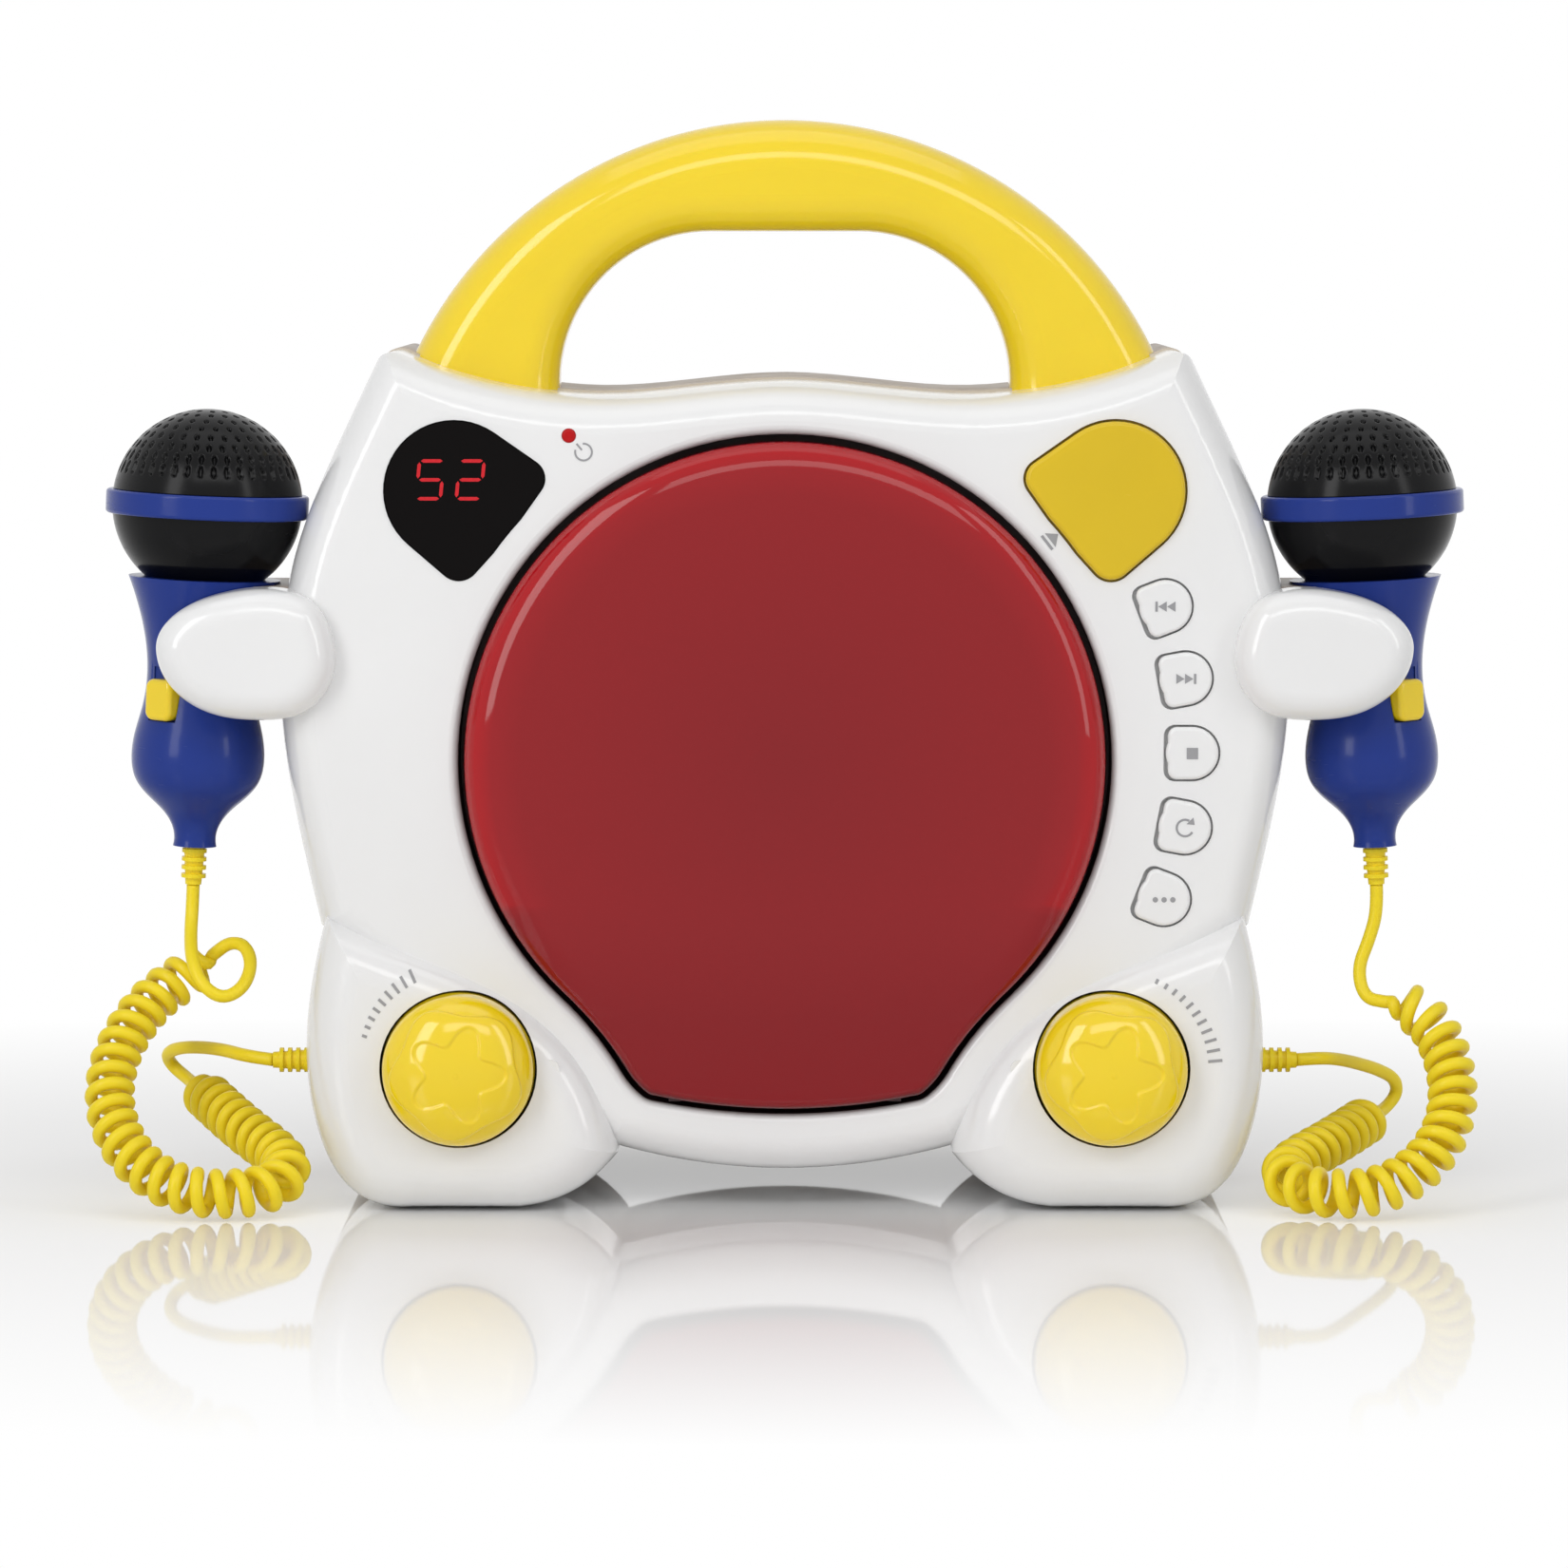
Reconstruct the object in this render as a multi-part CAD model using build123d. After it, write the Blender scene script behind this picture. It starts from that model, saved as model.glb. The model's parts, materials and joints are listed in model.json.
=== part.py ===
"""Upright karaoke disc player with two microphones on curly cords.

Millimetres. X is the machine's width, +Y points to its back, +Z is up.
The origin lies on the ground under the middle of the machine.
"""
from build123d import *
from math import ceil, cos, floor, hypot, pi, radians, sin, sqrt, tan
import os

os.makedirs("parts", exist_ok=True)

# ---------------------------------------------------------------- casing
wall = 2.6
front_face_y = -46.0
pod_face_y = -52.0
front_joint_y = -6.0
rear_joint_y = 6.0
rear_face_y = 64.0
edge_inset = 9.0
edge_depth = 14.0
pod_edge_inset = 11.0
pod_edge_depth = 13.0
frame_rise = 0.5
frame_band = 3.4
ground_lift = 0.5

rim_bottom = 8.9
rim_corner = (42.0, 15.0)
waist = (112.2, 68.5)
body_side = [(118.4, 97.0), (121.8, 126.0), (118.6, 155.5), (109.2, 180.8)]
horn = (96.2, 208.2)
body_top = [(66.0, 198.3), (45.0, 196.2), (0.0, 199.5)]
horn_round = 4.5

pod_sole = (64.0, 90.0)
pod_outer = [(106.6, 6.6), (113.2, 20.5), (115.4, 44.0)]
pod_top = (110.4, 71.8)
pod_crease = [(84.4, 61.8), (60.7, 49.7), (47.5, 35.9)]
pod_tip = (40.2, 14.0)
pod_heel = [(50.4, 4.8)]
pod_side_x = pod_outer[-1][0]

# ---------------------------------------------------------------- cover and disc bay
lid_center = (0.0, 108.9)
lid_radius = 76.8
lid_tail_angle = 46.4
lid_tail = [(45.9, 45.8), (38.0, 34.6)]
lid_tail_corner = (32.6, 28.6)
lid_bottom = 25.2
lid_corner_round = 3.6
lid_gap = 1.6
lid_wall = 2.2
lid_rim_y = -42.0
lid_crown_y = -54.0
lid_crown = 4.6
lid_edge_round = 2.6
opening_round = 2.2
well_floor_y = -31.0
well_wall = 2.0
well_flange = 5.0

hinge_y = -43.7
hinge_z = 29.0
hinge_pin_radius = 1.2
hinge_ear_radius = 2.4
hinge_ear_width = 3.0
hinge_ear_x = 25.0
hinge_clearance = 0.6
running_fit = 0.05

hub_radius = 7.4
platter_radius = 14.0
platter_y = -37.6
platter_thickness = 2.4
hub_length = 3.4
hub_shaft_radius = 1.5
spindle_motor_radius = 12.0
spindle_motor_length = 8.5
chassis_width = 78.0
chassis_top = 38.0
chassis_bottom = 78.0
chassis_thickness = 2.2
rail_x = 18.0
rail_y = -20.5
rail_radius = 1.5
rail_ends = (38.0, 104.0)
sled_width = 25.0
sled_height = 22.0
sled_front_y = -33.2
sled_near_radius = 24.0
lens_radius = 3.0
slot_margin = 2.0
gear_radius = 8.0
gear_teeth = 20
gear_thickness = 3.0
gear_gap = 0.35
guide_half = 3.0
gear_x = rail_x + guide_half + gear_gap + gear_radius
gear_z = 66.0
rail_pocket = 3.0
sled_travel = 34.0
chassis_y = well_floor_y + well_wall
lid_inner_tail_y = hinge_y - hinge_ear_radius - 0.35
sled_motor_radius = 7.6
sled_motor_length = 13.0

# ---------------------------------------------------------------- controls
key_ring_center_z = 111.1
key_ring_radius = 97.5
key_first_angle = 21.15
key_angle_step = 10.58
key_half_height = 6.3
key_flat_inset = 0.5
key_corner = 2.2
key_proud = 1.3
key_gap = 0.5
key_travel = 1.2
key_lip = 1.1
key_names = ["back", "forward", "stop", "repeat", "mode"]
key_board_y = -33.0
board_thickness = 1.6
switch_height = 3.0
key_board_rise = 9.7
key_board_turn = 7.0
key_post_radius = 104.6
key_post_steps = (0.5, 3.5)
post_radius = 2.2
boss_clearance = 0.6

window_center = (78.9, 173.8)
window_radius = 16.6
window_top_corner = (61.95, 176.75)
window_top_corner_radius = 4.5
window_low_corner = (77.9, 157.5)
window_low_corner_radius = 4.9
window_inner_radius = 86.0
window_gap = 0.35
window_proud = 0.5
window_lip = 1.4
display_board_y = -36.0
button_gap = 0.6
button_proud = 1.8

led_place = (-51.5, 187.0)
led_radius = 1.7
led_flange = 0.7
led_clearance = 0.3

knob_center = (78.3, 35.4)
knob_radius = 18.4
knob_gap = 0.5
knob_dome = 10.0
knob_skirt_y = -47.0
knob_rim_y = -54.0
knob_wall = 2.2
knob_shaft_radius = 3.0
knob_socket_radius = 5.2
knob_shaft_front_y = -58.0
pot_y = -36.0
pot_size = (17.0, 18.0, 8.0)
pot_board = (50.0, 20.0)
pot_post_x = 22.0

# ---------------------------------------------------------------- handle
handle_center_z = 161.9
handle_radius = 100.8
handle_opening_radius = 36.9
handle_opening_z = 198.6
handle_opening_shift = 18.2
handle_front_y = -12.0
handle_rear_y = 14.0
handle_outer_round = 12.0
handle_inner_round = 9.0
handle_foot_z = 190.0

# ---------------------------------------------------------------- back and inside
screw_places = [(97.5, 189.5), (110.0, 118.0), (101.0, 60.0)]
screw_post_radius = 4.2
screw_radius = 1.5
screw_head_radius = 3.0
screw_head_depth = 3.0
screw_tip_y = -20.0
screw_sink = 22.0
speaker_center_z = 143.0
speaker_radius = 38.0
speaker_depth = 26.0
grille_radius = 33.0
grille_slot = 2.4
grille_pitch = 6.0
bay_half_width = 50.0
bay_bottom = 22.0
bay_top = 84.0
bay_depth = 27.0
bay_front_y = rear_face_y - bay_depth
door_gap = 0.4
door_thickness = 2.2
door_inset = 1.2
main_board_y = 13.0
main_board_size = (112.0, 50.0)
main_board_z = 53.0
board_mounts = [(dx * (main_board_size[0] / 2 - 12), main_board_z + dz * (main_board_size[1] / 2 - 6))
                for dx in (-1, 1) for dz in (-1, 1)]
jack_place = (84.0, 42.0)
jack_radius = 4.6
foot_pad_radius = 5.0
foot_pad_depth = 1.2
foot_pad_x = 77.0
foot_pad_y = [-28.0, 44.0]

# ---------------------------------------------------------------- microphones (the right one)
mic_center = (140.0, -22.0, 169.7)
mic_lean = 2.64
ball_radius = 23.0
ball_wall = 1.6
ring_radius = 24.5
ring_inner_radius = 22.2
ring_half_height = 2.9
bowl_bottom = 18.1
bowl_seat_radius = sqrt(ball_radius ** 2 - bowl_bottom ** 2) + 0.4
collar_radius = 18.4
collar_drop = 17.9
grip_profile = [(15.1, 27.5), (13.1, 39.3), (13.9, 49.5), (15.6, 56.5), (16.1, 62.0), (15.0, 67.3),
                (11.9, 71.3), (7.8, 75.2), (5.5, 79.0)]
neck_radius = 5.3
neck_drop = 83.4
grip_wall = 2.2
mic_switch_drop = 47.2
mic_switch_size = (8.0, 10.0)
mic_switch_rise = 16.2
mic_switch_corner = 2.2
mic_switch_edge = 1.2
mic_switch_room = 0.6
mic_switch_sweep = [0.0, 2.5, 5.0, 10.0, 20.0]
mic_switch_floor = 12.0
mic_switch_travel = 2.5
mic_switch_gap = 0.25
switch_azimuth = -55.0
capsule_radius = 6.5
capsule_height = 9.0

hand_outline = [(150.2, 136.0), (147.4, 128.0), (139.5, 121.6), (126.0, 119.1), (114.5, 121.2),
                (108.0, 129.5), (108.2, 139.5), (112.0, 146.8), (121.0, 150.3), (134.0, 149.4),
                (146.2, 144.0)]
hand_front_y = -54.0
hand_back_y = -35.0
hand_round = 7.0
hand_back_round = 2.5
cradle_outer_x = 148.0
cradle_rear_y = 4.0
cradle_bottom = 120.5
cradle_top = 150.3
holder_gap = 0.35

# ---------------------------------------------------------------- cords
wire_radius = 1.6
relief_y = -25.0
relief_z = 34.2
relief_standoff = 0.2
relief_slack = 0.6
relief_collar = 1.2
relief_radius = 3.0
relief_neck_radius = 2.1
relief_length = 9.4
relief_ribs = 4
curl_radius = 4.5
curl_pitch = 4.75
curl_least_gap = 0.8
curl_entry = 5.0

right_tail = [(144.28, -22.0, 76.85), (144.57, -22.0, 70.6), (142.6, -22.7, 63.6), (139.6, -24.4, 56.6),
              (141.0, -27.0, 49.6), (146.4, -28.4, 48.8)]
right_curls = [(146.4, -28.4, 48.8), (151.8, -29.8, 48.0), (156.8, -33.2, 44.4), (160.0, -38.0, 38.0),
               (161.2, -43.6, 30.4), (160.0, -49.2, 22.6), (155.6, -54.0, 15.4), (148.8, -57.6, 10.0),
               (140.6, -59.8, 7.0), (132.2, -59.4, 6.5), (124.8, -55.8, 6.9), (120.4, -49.2, 8.0),
               (121.0, -41.6, 9.8), (125.8, -34.6, 11.6), (131.4, -27.4, 13.2), (136.8, -19.4, 14.8),
               (141.8, -11.2, 16.4), (146.2, -3.8, 17.6)]
right_lead = [(146.2, -3.8, 17.6), (149.2, 1.3, 18.4), (152.4, 3.6, 21.8), (151.6, 0.8, 26.0),
              (146.8, -4.6, 29.0), (141.2, -11.0, 31.4), (136.0, -18.2, 33.4), (130.6, -24.2, 34.6),
              (124.8, -25.0, 34.2)]
left_tail = [(-144.28, -22.0, 76.85), (-144.54, -22.0, 71.2), (-144.7, -25.4, 65.2), (-143.9, -31.8, 59.8),
             (-141.4, -35.4, 54.0), (-136.2, -36.2, 50.4), (-131.2, -33.8, 52.8), (-129.4, -29.2, 58.0),
             (-131.4, -24.8, 62.4), (-135.6, -22.4, 62.8), (-139.6, -21.8, 59.6)]
left_curls = [(-139.6, -21.8, 59.6), (-145.6, -20.9, 54.8), (-153.0, -25.8, 50.2), (-159.0, -32.2, 43.2),
              (-162.8, -39.0, 34.4), (-162.8, -45.8, 25.0), (-158.6, -52.0, 16.4), (-151.0, -56.8, 10.0),
              (-141.8, -59.8, 7.0), (-132.4, -59.8, 6.5), (-124.4, -56.4, 7.0), (-119.9, -49.6, 8.8),
              (-120.6, -41.8, 11.4), (-125.2, -34.6, 14.0), (-131.0, -27.4, 16.8), (-136.2, -19.6, 19.6),
              (-141.2, -11.4, 22.4), (-145.4, -3.6, 24.4)]
left_lead = [(-145.4, -3.6, 24.4), (-148.6, 2.4, 25.9), (-152.6, 4.6, 28.8), (-153.6, 0.8, 32.2),
             (-150.2, -4.6, 34.4), (-144.2, -10.4, 35.4), (-137.8, -16.8, 35.6), (-131.2, -23.4, 34.8),
             (-124.8, -25.0, 34.2)]


# ================================================================ helpers
def layer(y):
    """Drawing plane that faces the front of the machine at depth y."""
    return Plane.XZ.offset(-y)


def slab(face, y_back, y_front):
    """The drawn face as a solid between two depths."""
    return extrude(layer(y_back) * face, y_back - y_front, dir=(0, -1, 0))


def rod(x, z, radius, y_back, y_front):
    return slab(Pos(x, z) * Circle(radius), y_back, y_front)


def edges_at(shape, y):
    """Edges that lie at one depth."""
    return shape.edges().filter_by_position(Axis.Y, y - 0.1, y + 0.1)


def block(x_range, y_range, z_range):
    size = [high - low for low, high in (x_range, y_range, z_range)]
    middle = [(high + low) / 2 for low, high in (x_range, y_range, z_range)]
    return Pos(*middle) * Box(*size)


def write(shape, name):
    export_step(shape, "parts/" + name + ".step")


def write_pair(shape, name):
    """The right-hand piece and its mirror image on the left."""
    write(shape, "right_" + name)
    write(mirror(shape, Plane.YZ), "left_" + name)


def flipped(points):
    return [(-x, z) for x, z in reversed(points)]


def inset_loop(points, inset):
    """Corners of a closed anticlockwise loop, moved inward along their mitres."""
    moved = []
    for i, (x, z) in enumerate(points):
        before = points[i - 1]
        after = points[(i + 1) % len(points)]
        first = (x - before[0], z - before[1])
        second = (after[0] - x, after[1] - z)
        normals = [(-dz / hypot(dx, dz), dx / hypot(dx, dz)) for dx, dz in (first, second)]
        (ax, az), (bx, bz) = normals
        reach = inset / (1 + ax * bx + az * bz)
        moved.append((x + (ax + bx) * reach, z + (az + bz) * reach))
    return moved


def outline(curves, inset=0.0):
    """Face bounded by curves that meet end to end; each is a list of points."""
    loop = [point for curve in curves for point in curve[:-1]]
    loop = inset_loop(loop, inset)
    edges = []
    start = 0
    for curve in curves:
        points = [loop[(start + i) % len(loop)] for i in range(len(curve))]
        edges.append(Line(*points) if len(points) == 2 else Spline(*points))
        start += len(curve) - 1
    return make_face(Curve() + edges)


def rounded_form(curves, y_back, y_front, edge, inset=0.0):
    """Solid from y_back to y_front whose front edge is a quarter oval."""
    across, deep = edge
    y_edge = y_front + deep
    sections = []
    for i in range(6):
        turn = radians(90 * i / 5)
        level = y_edge - deep * sin(turn)
        sections.append(layer(level) * outline(curves, inset + across * (1 - cos(turn))))
    return slab(outline(curves, inset), y_back, y_edge) + loft(sections)


# ================================================================ outlines
def body_curves(rise=0.0):
    side = [waist] + body_side + [(horn[0], horn[1] + rise)]
    top = [(x, z + rise) for x, z in [horn] + body_top]
    top = top + flipped(top[:-1])
    bottom = [(-rim_corner[0], rim_corner[1]), (0.0, rim_bottom), rim_corner]
    return [bottom, [rim_corner, waist], side, top, flipped(side), flipped([rim_corner, waist])]


def pod_curves(side):
    sole = [(pod_sole[0], ground_lift), (pod_sole[1], ground_lift)]
    outer = [sole[1]] + pod_outer + [pod_top]
    crease = [pod_top] + pod_crease + [pod_tip]
    heel = [pod_tip] + pod_heel + [sole[0]]
    curves = [sole, outer, crease, heel]
    return curves if side > 0 else [flipped(curve) for curve in reversed(curves)]


def lid_face(grow=0.0):
    """Outline of the cover: a disc with a tail that narrows to the hinge."""
    cx, cz = lid_center
    reach = radians(360 - lid_tail_angle)
    leave = (cx + lid_radius * cos(reach), cz + lid_radius * sin(reach))
    tail = [ThreePointArc((-leave[0], leave[1]), (cx, cz + lid_radius), leave)]
    for corner in lid_tail + [lid_tail_corner]:
        tail.append(TangentArc(tail[-1] @ 1, corner, tangent=tail[-1] % 1))
    left = [mirror(arc, Plane.YZ) for arc in tail[1:]]
    foot = ThreePointArc(lid_tail_corner, (0, lid_bottom), (-lid_tail_corner[0], lid_tail_corner[1]))
    face = make_face(Curve() + [*tail, foot, *left])
    corners = face.vertices().filter_by_position(Axis.Y, 0, lid_tail_corner[1] + 1)
    face = fillet(corners, lid_corner_round)
    return offset(face, grow) if grow else face


def window_face(grow=0.0):
    """Outline of the display window on the left; the cover button mirrors it."""
    circles = [(window_center, window_radius + grow),
               (window_top_corner, window_top_corner_radius + grow),
               (window_low_corner, window_low_corner_radius + grow)]
    rims = [edge for (x, z), radius in circles for edge in (Pos(-x, z) * Circle(radius)).edges()]
    hollow = Pos(*lid_center) * Circle(window_inner_radius - grow)
    return make_hull(rims) - hollow


def key_face(grow=0.0, inset=0.0):
    """D-shaped key about its own middle, with its flat side toward -X."""
    height = 2 * key_half_height
    width = key_half_height - inset
    flat = Pos(-width / 2, 0) * Rectangle(width, height)
    corners = flat.vertices().sort_by(Axis.X)[:2]
    face = fillet(corners, key_corner) + Circle(key_half_height)
    return offset(face, grow) if grow else face


def key_place(index):
    angle = key_first_angle - index * key_angle_step
    x = key_ring_radius * cos(radians(angle))
    z = key_ring_center_z + key_ring_radius * sin(radians(angle))
    return Pos(x, z) * Rot(0, 0, angle)


# ================================================================ casing forms
body_edge = (edge_inset, edge_depth)
pod_edge = (pod_edge_inset, pod_edge_depth)
inner_body_edge = (edge_inset - wall, edge_depth - wall)
inner_pod_edge = (pod_edge_inset - wall, pod_edge_depth - wall)
horn_top = horn[1] + frame_rise + 20


def horn_trim(rise):
    """Keeps what lies inside the outline with its two horns rounded."""
    face = outline(body_curves(rise))
    horns = face.vertices().filter_by_position(Axis.Y, horn[1] + rise - 1, horn_top)
    face = fillet(horns, horn_round)
    keep = slab(face, rear_face_y + 1, pod_face_y - 1)
    below = block((-150, 150), (pod_face_y - 1, rear_face_y + 1), (-1, 100))
    return keep + below


def half_form(y_joint, y_body, y_pod, inset, rise, rounded):
    """Body and both feet from the joint plane to the front."""
    body_corner, pod_corner = rounded
    form = rounded_form(body_curves(rise), y_joint, y_body, body_corner, inset)
    for side in (-1, 1):
        form += rounded_form(pod_curves(side), y_joint, y_pod, pod_corner, inset)
    return form


front_outer = half_form(front_joint_y, front_face_y, pod_face_y, 0, 0, (body_edge, pod_edge))
front_outer = front_outer & horn_trim(0)
front_inner = half_form(front_joint_y, front_face_y + wall, pod_face_y + wall, wall, 0,
                        (inner_body_edge, inner_pod_edge))
rear_outer = half_form(-rear_joint_y, -rear_face_y, -rear_face_y, 0, frame_rise, (body_edge, pod_edge))
rear_outer = mirror(rear_outer, Plane.XZ) & horn_trim(frame_rise)
rear_inner = half_form(-rear_joint_y, -rear_face_y + wall, -rear_face_y + wall, wall, frame_rise,
                       (inner_body_edge, inner_pod_edge))
rear_inner = mirror(rear_inner, Plane.XZ)


def frame_form(inset):
    """Slice of the casing between the two shells."""
    face = outline(body_curves(frame_rise), inset)
    for side in (-1, 1):
        face += outline(pod_curves(side), inset)
    return slab(face, rear_joint_y, front_joint_y)


# ================================================================ microphone profile
mic_plane = Plane(origin=mic_center, x_dir=(cos(radians(mic_lean)), 0, sin(radians(mic_lean))),
                  z_dir=(-sin(radians(mic_lean)), 0, cos(radians(mic_lean))))


def grip_half(grow=0.0):
    """Half section of the microphone's handle in its own frame, radius along X."""
    radii = [(r + grow, -drop) for r, drop in grip_profile]
    top = (collar_radius + grow, -collar_drop)
    bottom = (neck_radius + grow, -neck_drop)
    side = Spline(top, *radii, bottom)
    frame = Polyline(bottom, (0, -neck_drop), (0, -collar_drop), top)
    return make_face(Curve() + [side, frame])


def spun(face):
    """Turns a half section about the microphone's axis."""
    return mic_plane * revolve(Plane.XZ * face, Axis.Z)


grip_solid = spun(grip_half())
holder_space = spun(grip_half(holder_gap))
grip_shadow = grip_half(holder_gap) + mirror(grip_half(holder_gap), Plane.YZ)
holder_space += mic_plane * extrude(Plane.YZ * grip_shadow, 60, dir=(1, 0, 0))


def switch_box(width, low, high, r_low, r_high):
    """Box beside the grip, toward +X in the microphone's own frame."""
    return Pos((r_low + r_high) / 2, 0, (low + high) / 2) * Box(r_high - r_low, width, high - low)


def at_switch(shape):
    """Turns a shape to the switch's azimuth and puts it on the right microphone."""
    return mic_plane * Rot(0, 0, switch_azimuth) * shape


# ================================================================ front shell
def opened_front():
    """Solid front with the cover's opening, which flares in a quarter round."""
    flare = []
    for i in range(5):
        turn = radians(90 * i / 4)
        grow = lid_gap + opening_round * (1 - cos(turn))
        flare.append(layer(front_face_y + opening_round * (1 - sin(turn))) * lid_face(grow))
    front = front_outer - slab(lid_face(lid_gap), front_joint_y, front_face_y + opening_round)
    return front - loft(flare)


def screw_bosses(y_back, y_front, radius):
    bosses = []
    for x, z in screw_places:
        bosses += [rod(side * x, z, radius, y_back, y_front) for side in (-1, 1)]
    return bosses


def board_posts(places, y_board):
    """Posts from the inside of the face back to a board."""
    return [rod(x, z, post_radius, y_board, front_face_y + wall / 2) for x, z in places]


def key_post_places():
    """Outside the ring of keys, between the first two and between the last two."""
    places = []
    for step in key_post_steps:
        angle = radians(key_first_angle - step * key_angle_step)
        places.append((key_post_radius * cos(angle), key_ring_center_z + key_post_radius * sin(angle)))
    return places


def make_front_shell():
    shell = opened_front() - front_inner
    for boss in screw_bosses(front_joint_y, front_face_y + wall / 2, screw_post_radius):
        shell += boss & front_outer
    for boss in screw_bosses(screw_tip_y + 25, screw_tip_y - 2, screw_radius + running_fit):
        shell -= boss
    shell += board_posts(key_post_places(), key_board_y)
    for side in (-1, 1):
        for dx in (-pot_post_x, pot_post_x):
            x = side * knob_center[0] + dx
            shell += rod(x, knob_center[1], post_radius, pot_y, pod_face_y + wall / 2)
        shell -= rod(side * knob_center[0], knob_center[1], knob_radius + knob_gap, pot_y, pod_face_y - 1)
        shell -= rod_across(side, relief_neck_radius + running_fit)
        shell -= foot_pad(side, foot_pad_y[0], foot_pad_depth - ground_lift)
    for index in range(len(key_names)):
        shell -= slab(key_place(index) * key_face(key_gap), key_board_y, front_face_y - 1)
    shell -= slab(window_face(window_gap), front_face_y + wall + 0.5, front_face_y - 1)
    shell -= slab(mirror(window_face(button_gap), Plane.YZ), front_face_y + wall + 0.5, front_face_y - 1)
    shell -= rod(*led_place, led_radius + running_fit, front_face_y + 2 * wall, front_face_y - 1)
    seat = front_face_y + wall
    return shell - rod(*led_place, led_radius + led_flange + led_clearance, seat + wall, seat - running_fit)


def rod_across(side, radius):
    """Hole through a foot's side wall for a cord relief."""
    start = pod_side_x - 2 * wall - 3
    spin = Plane(origin=(side * start, relief_y, relief_z), z_dir=(side, 0, 0))
    return extrude(spin * Circle(radius), 2 * wall + 6)


def foot_pad(side, y, depth):
    """Pocket or pad under a foot; depth is measured up from the sole."""
    return Pos(side * foot_pad_x, y, ground_lift + depth / 2) * Cylinder(foot_pad_radius, depth)


# ================================================================ middle frame and back
def make_mid_frame():
    """Band between the shells, with the rear arm of each microphone holder."""
    frame = (frame_form(0) & horn_trim(frame_rise)) - frame_form(frame_band)
    for side in (-1, 1):
        arm = block(sorted((side * 106, side * cradle_outer_x)), (hand_back_y, cradle_rear_y),
                    (cradle_bottom, cradle_top))
        tips = arm.edges().filter_by(Axis.Z).filter_by_position(
            Axis.X, *sorted((side * (cradle_outer_x - 1), side * (cradle_outer_x + 1))))
        arm = fillet(tips, 2.4)
        space = holder_space if side > 0 else mirror(holder_space, Plane.YZ)
        arm = arm - front_outer - frame_form(0) - space
        frame += arm.solids().sort_by(SortBy.VOLUME)[-1]
    return frame


def grille_slots():
    """Round field of level slots in front of the loudspeaker."""
    rows = floor(grille_radius / grille_pitch)
    slots = []
    for row in range(-rows, rows + 1):
        height = row * grille_pitch
        half = sqrt(grille_radius ** 2 - height ** 2)
        slot = SlotOverall(half - 2, grille_slot)
        for side in (-1, 1):
            place = Pos(side * (half / 2 + 1), speaker_center_z + height)
            slots.append(slab(place * slot, rear_face_y + 1, rear_face_y - 2 * wall))
    return slots


def bay_block(grow, y_front, y_back):
    return block((-bay_half_width - grow, bay_half_width + grow), (y_front, y_back),
                 (bay_bottom - grow, bay_top + grow))


def make_rear_shell():
    shell = rear_outer - rear_inner
    bay = bay_block(wall, bay_front_y - wall, rear_face_y - wall / 2)
    shell += bay - bay_block(0, bay_front_y, rear_face_y + 1)
    shell -= bay_block(0, bay_front_y, rear_face_y + 1)
    rim = bay_block(wall, rear_face_y - wall - door_thickness, rear_face_y - door_thickness - door_inset)
    lip = bay_block(-wall, bay_front_y, rear_face_y + 1)
    shell += rim - lip
    shell -= grille_slots()
    for post in screw_bosses(rear_face_y - 1, rear_joint_y, screw_post_radius + 0.6):
        shell += post & rear_outer
    for hole in screw_bosses(rear_face_y + 1, rear_joint_y - 1, screw_radius + running_fit):
        shell -= hole
    for sink in screw_bosses(rear_face_y + 1, rear_face_y - screw_sink, screw_head_radius + 0.3):
        shell -= sink
    for x, z in board_mounts:
        shell += rod(x, z, post_radius, bay_front_y - wall / 2, main_board_y + board_thickness)
    ring = Pos(0, speaker_center_z) * (Circle(speaker_radius + 2.2) - Circle(speaker_radius + 0.3))
    shell += slab(ring, rear_face_y - wall / 2, rear_face_y - wall - 5)
    shell -= rod(*jack_place, jack_radius, rear_face_y + 1, rear_face_y - 2 * wall)
    for side in (-1, 1):
        shell -= foot_pad(side, foot_pad_y[1], foot_pad_depth - ground_lift)
    return shell


def make_battery_door():
    door = bay_block(-door_gap, rear_face_y - door_thickness - door_inset, rear_face_y - door_inset)
    grip = Pos(0, bay_top - 9) * SlotOverall(20, 5)
    return door - slab(grip, rear_face_y + 1, rear_face_y - door_inset - door_thickness / 2)


def make_case_screws():
    screws = []
    seat = rear_face_y - screw_sink
    for x, z in screw_places:
        for side in (-1, 1):
            head = rod(side * x, z, screw_head_radius, seat + screw_head_depth, seat)
            shank = rod(side * x, z, screw_radius, seat, screw_tip_y)
            drive = slab(Pos(side * x, z) * (Rectangle(3.4, 0.9) + Rectangle(0.9, 3.4)),
                         seat + screw_head_depth + 1, seat + 1.6)
            screws.append(head + shank - drive)
    return Compound(screws)


def make_rubber_feet():
    pads = []
    disc = Cylinder(foot_pad_radius - 0.1, foot_pad_depth)
    disc = chamfer(disc.edges().sort_by(Axis.Z)[0], 0.3)
    for side in (-1, 1):
        for y in foot_pad_y:
            pads.append(Pos(side * foot_pad_x, y, foot_pad_depth / 2) * disc)
    return Compound(pads)


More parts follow.
